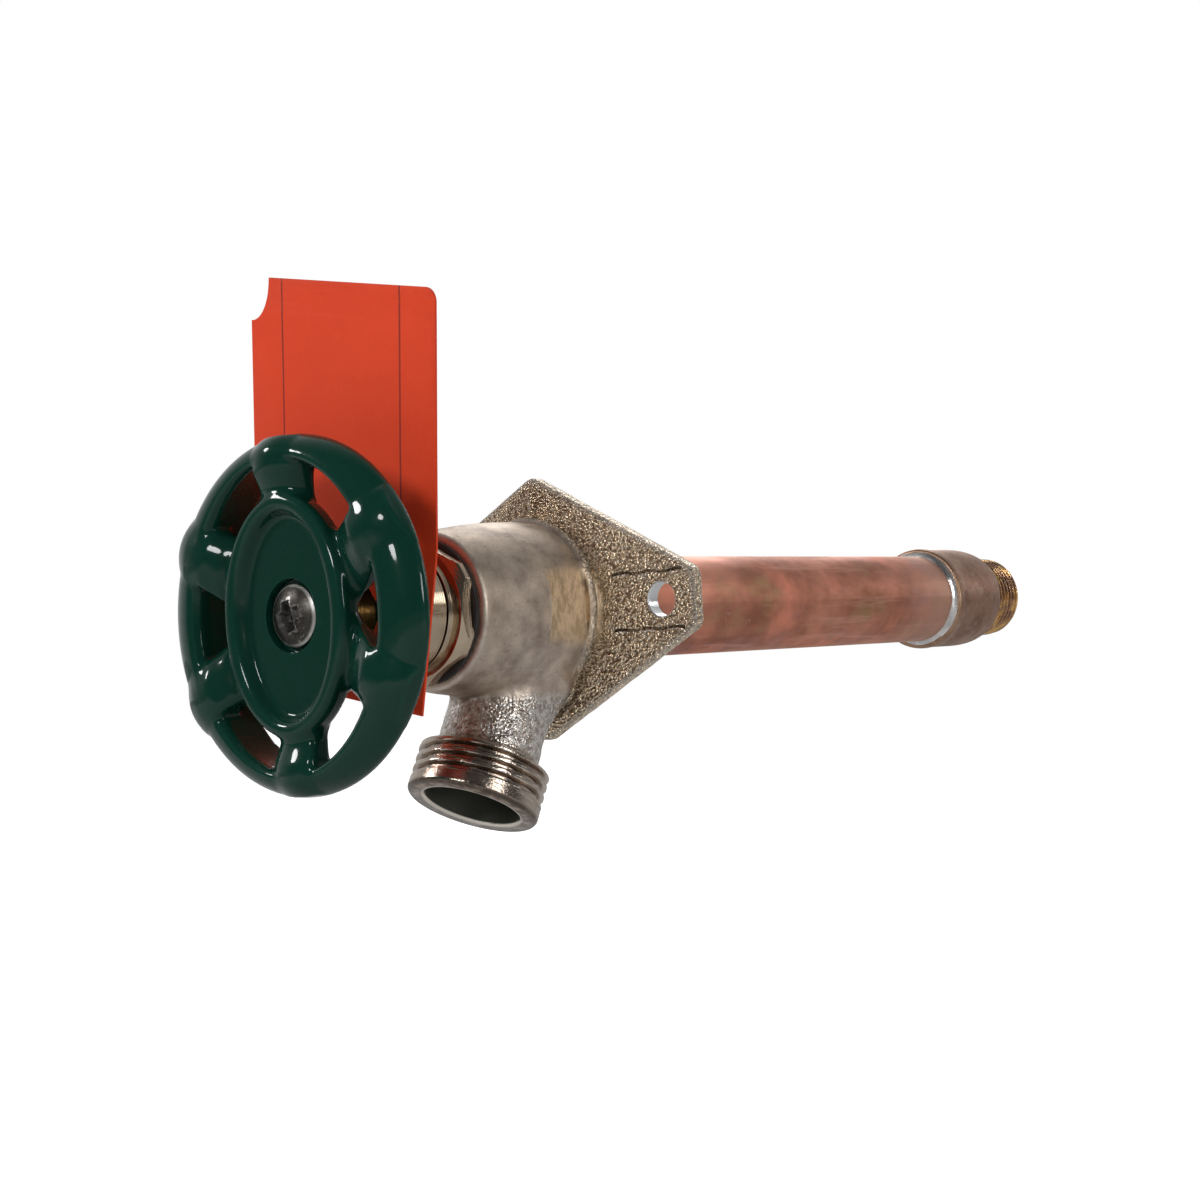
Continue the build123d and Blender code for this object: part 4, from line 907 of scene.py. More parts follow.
# %% Gloss and relief of the casting
gloss = fade(tree, smooth["Height"], 0.3, 1.2, 0.42, 0.56)
for mask, change in ((on_flange, -0.28), (on_neck, -0.20), (on_thread, -0.10), (in_bore, 0.30)):
    gloss = plus(tree, gloss, times(tree, mask, change))
feed(tree, shader["Roughness"], gloss)
dull = times(tree, worked_out(tree, "MAXIMUM", on_flange, on_flat), 0.22)
feed(tree, shader["Metallic"], minus(tree, 1.0, dull))
grainy = times(tree, on_flange, minus(tree, 1.0, in_screw_hole))
pebbled = times(tree, minus(tree, on_neck, on_thread), 0.15)
rough_skin = worked_out(tree, "MAXIMUM", grainy, pebbled)
relief = plus(tree, times(tree, smooth["Height"], 0.10), times(tree, coarse["Height"], rough_skin, -2.2))
relief = plus(tree, relief, times(tree, swirl, on_flat, 0.5))
raise_surface(tree, shader, relief, 0.32 * MM)
finished(body_casting, "hydrant_body", "body_casting", plated)

# %% [markdown]
# ## The handwheel
# The wheel is a small casting under thick glossy enamel: an oval dished hub, six saddle-shaped spokes that
# climb over a sloping rim, and six windows between them. Enamel fills every inner corner, so all parts melt
# into each other with soft hollows. The shape is again written as distances; the screw's recess and the
# square hole are cut crisp.

# %% Sizes of the rim, in millimetres
WHEEL_AT = 69.4
WHEEL_R = 33.6
RIM_W = 6.6
RIM_CREST = 4.5
RIM_CREST_IN = 5.0
RIM_BACK = 5.2
RIM_BULGE = 0.9
RIM_EDGE = 0.4
OPENING_HALF_W = 24.3
OPENING_HALF_H = 28.8
rim_section = [(WHEEL_R - RIM_W, -RIM_BACK), (WHEEL_R - 4.7, -RIM_BACK), (WHEEL_R - 1.6, -2.6),
               (WHEEL_R, -RIM_EDGE), (WHEEL_R, RIM_EDGE)]
slope_in, slope_up = RIM_CREST_IN, RIM_CREST - RIM_EDGE
for share in np.linspace(0, 1, 9)[1:]:
    swell = 4 * RIM_BULGE * share * (1 - share) / math.hypot(slope_in, slope_up)
    rim_section.append((WHEEL_R - slope_in * share + slope_up * swell,
                        RIM_EDGE + slope_up * share + slope_in * swell))
rim_section += [(WHEEL_R - RIM_CREST_IN - 0.9, RIM_CREST - 0.25), (WHEEL_R - RIM_W, RIM_CREST - 1.4)]
print("rim section has", len(rim_section), "points")

# %% Sizes of the hub and the spokes
HUB_HALF_W = 16.4
HUB_HALF_H = 22.6
HUB_FRONT = 4.5
HUB_T = 5.0
DISH_HALF_W = 11.7
DISH_HALF_H = 18.5
DISH_DEPTH = 2.6
DISH_FLARE = 0.5
BOSS_R = 8.6
BOSS_MIDDLE = -2.9
BOSS_HALF_T = 3.2
SPOKES = 6
SPOKE_FROM = 12.0
SPOKE_SHIFT = 1.1
SPOKE_DROOP = 5.0
SPOKE_WIDTH_AT = (12, 18, 24, 28.5, 33.6)
SPOKE_HALF_W = (7.4, 6.3, 5.6, 6.2, 6.0)
SPOKE_STATIONS = np.linspace(10, 36, 105)
knots = np.array((10.0, 19.5, 21.2, 23.0, 25.8, 28.2, 30.2, 32.2, WHEEL_R, 36.0))
knot_heights = np.array((2.6, 2.6, 3.6, 4.2, 5.4, 5.4, 5.1, 4.0, 2.6, -1.0))
spoke_heights = np.interp(SPOKE_STATIONS, knots, knot_heights)
for _ in range(6):
    spoke_heights[1:-1] = (spoke_heights[:-2] + 2 * spoke_heights[1:-1] + spoke_heights[2:]) / 4
print("a spoke is highest, at", round(float(spoke_heights.max()), 2), "mm,",
      round(float(SPOKE_STATIONS[spoke_heights.argmax()]), 1), "mm from the middle")

# %% [markdown]
# ## Ovals in a round wheel
# The rim is round outside, but the windows' outer edge and the hub are ovals. Two helpers deal with that:
# one gives the distance to an oval, and one says at which radius a point would lie if the opening were
# round. With the second, the rim and the spokes are drawn once, as sections, and still follow the oval.

# %% The handwheel's parts as distances
def oval_share(x, z, half_w, half_h):
    """How far out a point lies on its way to an oval, where the oval itself is 1."""
    return np.sqrt((x / half_w) ** 2 + (z / half_h) ** 2) + 1e-9


def oval(x, z, half_w, half_h):
    """Distance to an oval, good enough near its edge."""
    share = oval_share(x, z, half_w, half_h)
    slope = np.sqrt((x / half_w ** 2) ** 2 + (z / half_h ** 2) ** 2) / share + 1e-9
    return (share - 1) / slope


def oval_station(x, z, off):
    """The radius the point would have if the rim's opening were round instead of oval."""
    inner_r = WHEEL_R - RIM_W
    share = oval_share(x, z, OPENING_HALF_W, OPENING_HALF_H)
    inner = off / share
    beyond = inner_r + (off - inner) * RIM_W / (WHEEL_R - inner)
    return np.where(share < 1, inner_r * share, beyond)


def spoke(along, across, off, station, height):
    """One saddle: low at the hub, high where it crosses the rim, down again to the outer edge."""
    top = np.interp(station, SPOKE_STATIONS, spoke_heights)
    half = np.interp(off, SPOKE_WIDTH_AT, SPOKE_HALF_W)
    droop = 1 - np.sqrt(np.maximum(1 - np.clip((across + SPOKE_SHIFT) / (half + 1.4), -1, 1) ** 2, 0.0))
    crown = (height - top + SPOKE_DROOP * droop) * 0.75
    side = np.abs(across) - half
    shape = common(crown, side, 0.9)
    shape = np.maximum(shape, np.maximum(-HUB_T + HUB_FRONT - height, off - WHEEL_R + 0.3))
    return np.maximum(shape, SPOKE_FROM - along)


def wheel_solid(x, y, z):
    """Rim, hub and spokes melted together, with the dish sunk in front and the boss behind."""
    height = -y - WHEEL_AT
    off = np.hypot(x, z)
    station = oval_station(x, z, off)
    rim = outline_distance(station, height, rim_section)
    hub = slab(oval(x, z, HUB_HALF_W, HUB_HALF_H), np.abs(height - HUB_FRONT + HUB_T / 2) - HUB_T / 2, 1.5)
    angle = np.arctan2(x, z)
    sector = 2 * math.pi / SPOKES
    nearest = angle - np.round(angle / sector) * sector
    arms = spoke(off * np.cos(nearest), off * np.sin(nearest), off, station, height)
    wheel = melt(melt(rim, hub, 1.2), arms, np.interp(off, (23.0, 28.0), (1.7, 0.7)))
    flare = DISH_FLARE * np.clip(height - HUB_FRONT + DISH_DEPTH, 0, DISH_DEPTH)
    dish = slab(oval(x, z, DISH_HALF_W + flare, DISH_HALF_H + flare), HUB_FRONT - DISH_DEPTH - height, 0.6)
    wheel = common(wheel, -dish, 1.1)
    wheel = common(wheel, off - WHEEL_R, 0.3)
    boss = slab(off - BOSS_R, np.abs(height - BOSS_MIDDLE) - BOSS_HALF_T, 0.6)
    return melt(wheel, boss, 0.9)


handwheel = cast_piece("handwheel_casting", wheel_solid, (-35.5, -77.0, -35.5), (35.5, -61.5, 35.5), 0.5)

# %% Cut the screw's recess and the square hole
RECESS_R = 6.9
RECESS_FLOOR = 69.1
SQUARE = 7.1
recess = [(0, -RECESS_FLOOR), (RECESS_R, -RECESS_FLOOR), (RECESS_R, -75.0), (0, -75.0)]
machined(handwheel, spun("screw_recess", softened(recess, 0.25)))
square = [(SQUARE / 2 * a, SQUARE / 2 * b) for a, b in ((-1, -1), (1, -1), (1, 1), (-1, 1))]
machined(handwheel, prism("square_hole", square, -74.0, -62.0))
print("wheel has a hole of", SQUARE, "mm square")

# %% [markdown]
# ## Green enamel
# The wheel was dipped and baked. Enamel is glossy and slightly wavy, pools darker in hollows, and thins on
# crests, where it looks lighter. A clear coat over a dark green base gives both the deep colour and the
# small hard highlights.

# %% Deep green enamel
enamel, tree, shader = new_finish("deep green enamel", roughness=0.3, Coat_Weight=1.0, Coat_Roughness=0.06,
                                  Coat_IOR=1.31, Specular_IOR_Level=0.02)
place = put(tree, "TexCoord").outputs["Object"]
edge_and_hollow = use(tree, edges, Reach=0.08, Break_up_mm=2.0)
pool = use(tree, patches, Size_mm=9.0, Edge=0.25, Level=0.5)["Mask"]
feed(tree, shader["Base Color"], layered(
    tree, mixed(tree, pool, shade(0.003, 0.029, 0.019), shade(0.003, 0.031, 0.020)),
    (edge_and_hollow["Edge"], 0.5, shade(0.010, 0.080, 0.058)),
    (edge_and_hollow["Hollow"], 0.6, shade(0.002, 0.028, 0.021))))
feed(tree, shader["Roughness"], fade(tree, noise(tree, place, 240.0), 0.3, 0.7, 0.20, 0.32))
orange_peel = plus(tree, noise(tree, place, 320.0, 2.0), times(tree, noise(tree, place, 90.0, 2.0), 1.5))
raise_surface(tree, shader, orange_peel, 0.08 * MM)
finished(handwheel, "stem_assembly", "handwheel", enamel, 50.0)

# %% [markdown]
# ## Finishes of the small pieces
# Turned brass, plated or bare, and steel differ in colour and gloss but share their story: a tool leaves
# fine rings, fingers leave dull patches, and handling leaves scratches. One function tells that story with
# other colours each time, which keeps a family of metals consistent. Rubber, fibre and plastic share
# another: they are dull, finely grained and a little dusty.

# %% One recipe for turned metal
def turned_metal(name, dark, light, roughness, patch_mm=6.0, ring_mm=0.22, ring_depth=0.02):
    """A metal with tarnish patches, tool rings and scratches."""
    material, tree, shader = new_finish(name, metallic=1.0)
    tarnish = use(tree, patches, Size_mm=patch_mm, Edge=0.2, Level=0.5)["Mask"]
    scratch = use(tree, scratches, Size_mm=5.0, Share=0.3)["Mask"]
    fresh = shade(*(min(1.0, 1.25 * part) for part in light))
    feed(tree, shader["Base Color"], layered(tree, mixed(tree, tarnish, shade(*dark), shade(*light)),
                                             (scratch, 0.35, fresh)))
    gloss = plus(tree, plus(tree, roughness, times(tree, tarnish, -0.08)), times(tree, scratch, 0.12))
    feed(tree, shader["Roughness"], gloss)
    ring = use(tree, rings, Spacing_mm=ring_mm, Unevenness=0.4)["Height"]
    raise_surface(tree, shader, plus(tree, ring, times(tree, scratch, -0.6)), ring_depth * MM)
    return material


bright_nickel = turned_metal("bright nickel", (0.42, 0.32, 0.23), (0.60, 0.49, 0.36), 0.17, patch_mm=9.0,
                             ring_mm=0.5, ring_depth=0.012)
turned_brass = turned_metal("turned brass", (0.42, 0.27, 0.10), (0.58, 0.42, 0.19), 0.30)
spring_steel = turned_metal("spring steel", (0.26, 0.26, 0.26), (0.42, 0.42, 0.42), 0.28, patch_mm=4.0)
print("turned metals:", [metal.name for metal in (bright_nickel, turned_brass, spring_steel)])


# %% One recipe for rubber, fibre and plastic
def soft_stuff(name, dark, light, roughness, grain_mm, grain_depth):
    """A dull material with its own fine grain and a dusty bloom."""
    material, tree, shader = new_finish(name, roughness=roughness)
    bloom = use(tree, patches, Size_mm=5.0, Edge=0.25, Level=0.5)["Mask"]
    feed(tree, shader["Base Color"], mixed(tree, bloom, shade(*dark), shade(*light)))
    feed(tree, shader["Roughness"], fade(tree, bloom, 0, 1, roughness - 0.08, roughness + 0.08))
    raise_surface(tree, shader, use(tree, grain, Size_mm=grain_mm, Sharpness=0.4)["Height"], grain_depth * MM)
    return material


black_fibre = soft_stuff("black gasket fibre", (0.012, 0.012, 0.012), (0.035, 0.033, 0.031), 0.75,
                         grain_mm=0.25, grain_depth=0.05)
graphite = soft_stuff("graphite packing", (0.030, 0.030, 0.032), (0.075, 0.075, 0.078), 0.45,
                      grain_mm=0.4, grain_depth=0.08)
valve_rubber = soft_stuff("black valve rubber", (0.010, 0.010, 0.010), (0.028, 0.028, 0.028), 0.60,
                          grain_mm=0.15, grain_depth=0.02)
natural_plastic = soft_stuff("natural guide plastic", (0.58, 0.56, 0.50), (0.70, 0.68, 0.62), 0.42,
                             grain_mm=0.3, grain_depth=0.02)
print("soft materials:", [stuff.name for stuff in (black_fibre, graphite, valve_rubber, natural_plastic)])

# %% [markdown]
# ## The bonnet
# The bonnet is a nickel-plated turning with a hexagon for the wrench. It screws into the barrel over a black
# gasket, and a groove near the hexagon lets air into the vacuum breaker. Polished metal lives from its edges,
# so the outline's corners are softened before spinning, and the hexagon's corners before extruding.

# %% The bonnet's hexagon
HEX_BACK = 36.9
HEX_FRONT = 40.1
HEX_FLATS = 27.0
HEX_ROUND_R = 14.7
OFF_AXIS = 1e-6
hex_r = HEX_FLATS / math.sqrt(3)
hexagon = []
for turn in np.arange(6) * math.pi / 3:
    # softened() leaves corners on the axis sharp, so the whole hexagon steps aside by a hair
    hexagon.append((hex_r * math.sin(turn) + OFF_AXIS, hex_r * math.cos(turn)))
bonnet = prism("bonnet_turning", softened(hexagon, 0.5), -HEX_BACK, -HEX_FRONT)
trim = [(0, -HEX_BACK), (HEX_ROUND_R - 0.3, -HEX_BACK), (HEX_ROUND_R, -HEX_BACK - 0.3),
        (HEX_ROUND_R, -HEX_FRONT + 1.5), (HEX_ROUND_R - 1.5, -HEX_FRONT), (0, -HEX_FRONT)]
machined(bonnet, spun("hexagon_chamfer", softened(trim, 0.2)), "INTERSECT")
print("hexagon for a wrench of", HEX_FLATS, "mm")

# %% The bonnet's barrel and bores
BONNET_BACK = 21.5
BONNET_FRONT = 51.5
BONNET_R = 12.2
BONNET_THREAD_R = 11.6
VENT_GROOVE_AT = 42.2
VENT_GROOVE_W = 0.5
VENT_GROOVE_R = 10.0
VENT_HOLE_R = 0.9
VENT_HOLES_AT = 9.5
TAIL_R = 8.3
CLIP_FLOOR_R = 7.8
CLIP_FROM, CLIP_TO = 22.2, 22.9
STEM_THREAD_R = 7.08
STEM_THREAD_END = 44.4
STEM_BORE_R = 4.83
PACKING_R = 7.6
PACKING_FLOOR = 46.0
groove_end = VENT_GROOVE_AT + VENT_GROOVE_W
turning = [(0, -BONNET_BACK), (TAIL_R, -BONNET_BACK), (TAIL_R, -VENT_ROOM_END),
           (BONNET_THREAD_R, -VENT_ROOM_END), (BONNET_THREAD_R, -38.4), (BONNET_R, -38.4),
           (BONNET_R, -VENT_GROOVE_AT), (VENT_GROOVE_R, -VENT_GROOVE_AT), (VENT_GROOVE_R, -groove_end),
           (BONNET_R, -groove_end), (BONNET_R, -BONNET_FRONT + 0.5), (BONNET_R - 0.5, -BONNET_FRONT),
           (0, -BONNET_FRONT)]
machined(bonnet, spun("bonnet_barrel", softened(turning, 0.18)), "UNION")
bonnet_bore = [(0, -BONNET_BACK + 1.0), (STEM_THREAD_R, -BONNET_BACK + 1.0),
               (STEM_THREAD_R, -STEM_THREAD_END), (STEM_BORE_R, -STEM_THREAD_END),
               (STEM_BORE_R, -PACKING_FLOOR), (PACKING_R, -PACKING_FLOOR),
               (PACKING_R, -BONNET_FRONT - 1.0), (0, -BONNET_FRONT - 1.0)]
machined(bonnet, spun("bonnet_bore", bonnet_bore))
clip_groove = [(r, -at) for r, at in ((CLIP_FLOOR_R, CLIP_FROM), (9.0, CLIP_FROM), (9.0, CLIP_TO),
                                      (CLIP_FLOOR_R, CLIP_TO))]
machined(bonnet, spun("clip_groove", clip_groove))
vent_hole = [(0, -25.0), (VENT_HOLE_R, -25.0), (VENT_HOLE_R, -42.45), (0, -42.45)]
for turn in np.arange(6) * math.pi / 3:
    start = (VENT_HOLES_AT * math.cos(turn), 0, VENT_HOLES_AT * math.sin(turn))
    machined(bonnet, spun("vent_hole", vent_hole, start, (0, 1, 0), 24))
finished(bonnet, "hydrant_body", "bonnet", bright_nickel, 30.0)

# %% [markdown]
# ## The inlet fitting
# At the far end a brass cup is soldered over the tube, and a tapered pipe thread screws into the house's
# pipework. Cup and thread are joined into one solid and then bored.

# %% Cast the cup
CUP_MOUTH = 146.8
CUP_END = 170.5
CUP_R = 12.88
MOUTH_SWELL = 0.22
SHOULDER = 8.5
SHOULDER_DROP = 1.95


def cup_solid(x, y, z):
    """The cup, slightly uneven as a casting is, with a rounded mouth and shoulder."""
    mouth = MOUTH_SWELL * np.exp(-((y - CUP_MOUTH - 1.6) / 1.5) ** 2)
    wall = CUP_R + mouth + 0.05 * waviness(x, y, z, 5.0)
    round_in = np.clip((y - CUP_END + SHOULDER) / SHOULDER, 0, 1)
    wall = wall - SHOULDER_DROP * (1 - np.sqrt(1 - round_in * round_in))
    return slab(np.hypot(x, z) - wall, np.maximum(CUP_MOUTH - y, y - CUP_END), 0.6)


inlet = cast_piece("inlet_fitting_skin", cup_solid, (-14.5, 145.5, -14.5), (14.5, 172.0, 14.5), 0.5)

# %% Thread and bore the inlet
INLET_END = 182.4
PIPE_R = 10.35
PIPE_PITCH = 1.814
PIPE_THREAD_DEPTH = 1.05
PIPE_LEAD = 0.7
CUP_SOCKET_END = 158.8
SEAT_AT = 157.2
SEAT_R = 4.8
PIPE_BORE_FROM = 169.7
PIPE_BORE_R = 7.98
pipe_end = INLET_END - 0.6
pipe_start = pipe_end - 9 * PIPE_PITCH


def pipe_crest(station):
    """The pipe thread's crests get smaller towards its end by one in thirty-two."""
    lead = np.clip((station - INLET_END + PIPE_LEAD) / PIPE_LEAD, 0, 1)
    return PIPE_R + (pipe_end - station) / 32 - 0.6 * lead * lead


pipe_thread = threaded("pipe_thread", (CUP_END - 2.0, INLET_END), pipe_crest, PIPE_PITCH, PIPE_THREAD_DEPTH,
                       (pipe_start, INLET_END + 0.4), (0, 0, 0), (0, 1, 0), 0.2, fine=10)
machined(inlet, pipe_thread, "UNION")
inlet_bore = [(0, 145.0), (SOCKET_R, 145.0), (SOCKET_R, CUP_SOCKET_END), (6.9, CUP_SOCKET_END),
              (6.3, SEAT_AT), (SEAT_R, SEAT_AT), (SEAT_R, PIPE_BORE_FROM), (PIPE_BORE_R, PIPE_BORE_FROM),
              (PIPE_BORE_R, 182.0), (8.3, 182.6), (8.3, 184.0), (0, 184.0)]
machined(inlet, spun("inlet_bore", inlet_bore))
print("inlet is", round(INLET_END - CUP_MOUTH, 1), "mm long")

# %% [markdown]
# ## Torch-browned brass
# The torch left the cup brown and dull, with a few bright spots where flux boiled. The thread was cut later
# and never heated as much, so it keeps its gold. One mask along the tube parts the two.

# %% Brown cup and golden thread
torched, tree, shader = new_finish("torch-browned brass", metallic=1.0)
place = put(tree, "TexCoord").outputs["Object"]
station = put(tree, "SeparateXYZ", {0: place}).outputs["Y"]
soot = use(tree, patches, Size_mm=8.0, Edge=0.18, Level=0.5)["Mask"]
spots = use(tree, patches, Size_mm=2.4, Edge=0.10, Level=0.62)["Mask"]
burnt = use(tree, patches, Size_mm=5.0, Edge=0.08, Level=0.53)["Mask"]
edge_and_hollow = use(tree, edges, Reach=0.07, Break_up_mm=1.0)
on_pipe = fade_mm(tree, station, 169.6, 171.5)
feed(tree, shader["Base Color"], layered(
    tree, mixed(tree, soot, shade(0.24, 0.130, 0.090), shade(0.42, 0.250, 0.175)),
    (spots, 0.5, shade(0.50, 0.36, 0.29)),
    (on_pipe, 1, mixed(tree, burnt, shade(0.30, 0.150, 0.090), shade(0.80, 0.47, 0.16))),
    (edge_and_hollow["Edge"], 0.5, shade(0.66, 0.50, 0.30)),
    # painted shade: hollows such as the thread's roots are darkened
    (edge_and_hollow["Hollow"], 0.7, shade(0.10, 0.055, 0.03))))
feed(tree, shader["Roughness"], plus(tree, fade(tree, soot, 0, 1, 0.50, 0.40), times(tree, on_pipe, -0.12)))
raise_surface(tree, shader, use(tree, grain, Size_mm=0.5, Sharpness=0.5)["Height"], 0.06 * MM)
finished(inlet, "hydrant_body", "inlet_fitting", torched, 40.0)

# %% [markdown]
# ## Solder
# Molten solder creeps round the joint and freezes in a bright hollow bead of changing width. A plain ring
# would look machined, so the bead's reach along the tube follows the same lattice of gentle bumps.

# %% Pour the solder bead
BEAD_OUT = 1.60
BEAD_REACH = 1.60


def bead(x, y, z):
    """A hollow fillet between the tube and the cup's mouth, with an uneven edge."""
    off = np.hypot(x, z)
    turn_x, turn_z = x / off * 9.0, z / off * 9.0
    reach = BEAD_REACH + 0.35 * waviness(turn_x, np.zeros_like(y), turn_z, 4.0)
    back, out = CUP_MOUTH + 0.25 - y, off - TUBE_R + 0.30
    scoop = 1.5 * reach
    hollow = scoop - np.hypot(back - scoop, out - scoop)
    lump = 0.03 * waviness(x, y, z, 1.8)
    return common(common(hollow * 0.9, np.maximum(-back, -out), 0.1), out - BEAD_OUT, 0.2) - lump


solder_bead = cast_piece("solder_bead", bead, (-13.6, 144.4, -13.6), (13.6, 147.6, 13.6), 0.22)

# %% Bright tin solder
bright_solder, tree, shader = new_finish("bright tin solder", metallic=1.0)
dull = use(tree, patches, Size_mm=2.2, Edge=0.2, Level=0.5)["Mask"]
feed(tree, shader["Base Color"], mixed(tree, dull, shade(0.60, 0.58, 0.56), shade(0.86, 0.85, 0.84)))
feed(tree, shader["Roughness"], fade(tree, dull, 0, 1, 0.38, 0.20))
raise_surface(tree, shader, use(tree, grain, Size_mm=0.7, Sharpness=0.3)["Height"], 0.04 * MM)
finished(solder_bead, "hydrant_body", "rear_solder", bright_solder, 60.0)

# %% [markdown]
# ## The handle screw
# A pan-headed steel screw holds the wheel. Its cross recess has been driven often: the slots taper towards
# the bottom, their corners are rolled over, and the dome is scuffed. The cross is cut with two tapered wedges
# and a small cone, which is how the driver's tip is shaped.

# %% Make the screw
HEAD_FACE = 70.0
HEAD_TOP = 72.3
HEAD_R = 5.9
HEAD_EDGE = 0.45
SHANK_R = 2.4
SHANK_END = 60.1
CROSS_TURN = 0.26
dome_foot = HEAD_FACE + HEAD_EDGE
dome = [(0, -HEAD_FACE), (HEAD_R, -HEAD_FACE), (HEAD_R, -dome_foot)]
for share in np.linspace(0, 1, 9)[1:-1]:
    rise = (HEAD_TOP - dome_foot) * (1 - (1 - share) ** 2.3)
    dome.append((round(HEAD_R * (1 - share), 4), -dome_foot - rise))
dome.append((0, -HEAD_TOP))
screw = spun("handle_screw_head", softened(dome, 0.12))
shank = [(0, -70.4), (SHANK_R, -70.4), (SHANK_R, -SHANK_END), (0, -SHANK_END)]
machined(screw, spun("screw_shank", shank, around=48), "UNION")
for turn in (CROSS_TURN, CROSS_TURN + math.pi / 2):
    ahead = np.array((math.cos(turn), math.sin(turn)))
    aside = np.array((-math.sin(turn), math.cos(turn)))
    wide, narrow = ([tuple(ahead * length * a + aside * width * b)
                     for a, b in ((1, 1), (-1, 1), (-1, -1), (1, -1))]
                    for length, width in ((3.5, 1.35), (2.1, 0.70)))
    machined(screw, prism("cross_wedge", wide, -72.9, -70.3, narrow))
machined(screw, spun("driver_cone", [(0, -73.0), (2.1, -73.0), (1.1, -70.2), (0, -70.0)], around=32))
rolled(screw, 0.14, 40)
print("screw head is", 2 * HEAD_R, "mm wide and stands", round(HEAD_TOP - HEAD_FACE, 1), "mm high")

# %% [markdown]
# ## Scuffed steel
# Zinc has worn off the screw, so its dome is dark and stained. The outer rim is bright, partly rubbed by
# hands and partly a painted highlight, and so are the scratches; the cross and the hollows are painted dark
# as shade.

# %% Finish of the screw
scuffed, tree, shader = new_finish("scuffed steel", metallic=1.0)
place = put(tree, "TexCoord").outputs["Object"]
part = put(tree, "SeparateXYZ", {0: place}).outputs
off_screw = off_line(tree, part["X"], part["Z"])
in_cross = times(tree, fade_mm(tree, off_screw, 3.4, 3.0), fade_mm(tree, part["Y"], -71.6, -71.2))
stain = use(tree, patches, Size_mm=2.6, Edge=0.2, Level=0.5)["Mask"]
scratch = use(tree, scratches, Size_mm=2.0, Share=0.5)["Mask"]
edge_and_hollow = use(tree, edges, Reach=0.05, Break_up_mm=0.6)
feed(tree, shader["Base Color"], layered(
    tree, mixed(tree, stain, shade(0.030, 0.027, 0.024), shade(0.085, 0.078, 0.070)),
    (scratch, 0.4, shade(0.42, 0.40, 0.38)),
    # bright outer rim: rubbed metal and a painted highlight
    (fade_mm(tree, off_screw, 5.2, 5.6), 0.8, shade(0.60, 0.59, 0.56)),
    # painted shade: the cross recess is darkened
    (in_cross, 0.9, shade(0.02, 0.017, 0.014)),
    (edge_and_hollow["Edge"], 0.5, shade(0.45, 0.43, 0.41)),
    # painted shade: concave places are darkened
    (edge_and_hollow["Hollow"], 0.6, shade(0.07, 0.05, 0.04))))
feed(tree, shader["Roughness"], fade(tree, stain, 0, 1, 0.42, 0.28))
raise_surface(tree, shader, plus(tree, noise(tree, place, 900.0), times(tree, scratch, -0.5)), 0.06 * MM)
finished(screw, "stem_assembly", "handle_screw", scuffed, 30.0)

# %% [markdown]
# ## The tag
# A card tag hangs round the packing nut. It was die-cut, so its outline is crisp, with one rounded corner and
# one bitten out, and its upper part has been bent forward by handling. A flat outline with a hole is filled,
# sliced into strips so that it can bend, given the card's thickness, and pressed into its curve.

# %% Sizes of the tag, in millimetres
TAG_BACK = 51.65
TAG_T = 0.5
TAG_LEAN = math.radians(11.5)
TAG_LEFT, TAG_RIGHT = -33.8, 17.0
TAG_BOTTOM, TAG_TOP = -16.9, 62.1
NOTCH_W = 5.2
NOTCH_H = 8.4
CORNER_R = 2.6
HOLE_R = 7.95
BEND_START, BEND_END = 11.0, 17.0
BEND_SLOPE = 0.131
WAVE = 0.12
WAVE_RUN = 9.0
STRIP = 1.5
card_edge = [(TAG_LEFT, TAG_BOTTOM), (TAG_RIGHT, TAG_BOTTOM)]
for t in np.linspace(0, math.pi / 2, 9):
    card_edge.append((TAG_RIGHT + CORNER_R * (math.cos(t) - 1), TAG_TOP + CORNER_R * (math.sin(t) - 1)))
for t in np.linspace(0, math.pi / 2, 13):
    card_edge.append((TAG_LEFT + NOTCH_W * math.cos(t), TAG_TOP - NOTCH_H * math.sin(t)))
hole_edge = [(HOLE_R * math.cos(t), HOLE_R * math.sin(t)) for t in np.linspace(0, 2 * math.pi, 65)[:-1]]
print("card", round(TAG_RIGHT - TAG_LEFT, 1), "x", round(TAG_TOP - TAG_BOTTOM, 1), "mm")


# %% Cut and bend the card
def bent(run):
    """How far the card stands forward at a height above its hole."""
    part = np.clip(run - BEND_START, 0, BEND_END - BEND_START)
    return BEND_SLOPE * (part * part / (2 * (BEND_END - BEND_START)) + max(run - BEND_END, 0.0))


card = bmesh.new()
for loop in (card_edge, hole_edge):
    corners = [card.verts.new((u, v, 0)) for u, v in loop]
    for a, b in zip(corners, corners[1:] + corners[:1]):
        card.edges.new((a, b))
bmesh.ops.triangle_fill(card, edges=card.edges[:], use_beauty=True)
for cut in np.arange(TAG_BOTTOM + STRIP, TAG_TOP, STRIP):
    bmesh.ops.bisect_plane(card, geom=card.verts[:] + card.edges[:] + card.faces[:], plane_co=(0, cut, 0),
                           plane_no=(0, 1, 0))
for vert in card.verts:
    u, v, _ = vert.co
    wave = WAVE * math.sin(u / WAVE_RUN + 0.6) * np.clip((abs(v) - 12) / 20, 0, 1)
    vert.co = ((u * math.cos(TAG_LEAN) + v * math.sin(TAG_LEAN)) * MM, -(TAG_BACK + bent(v) + wave) * MM,
               (-u * math.sin(TAG_LEAN) + v * math.cos(TAG_LEAN)) * MM)
tag = bpy.data.objects.new("hang_tag", bpy.data.meshes.new("hang_tag"))
bpy.context.scene.collection.objects.link(tag)
card.to_mesh(tag.data)
card.free()
for face in tag.data.polygons:
    if face.normal.y > 0:
        face.flip()
thickness = tag.modifiers.new("card thickness", "SOLIDIFY")
thickness.thickness = TAG_T * MM
thickness.offset = 1.0
rolled(tag, 0.08, 50)
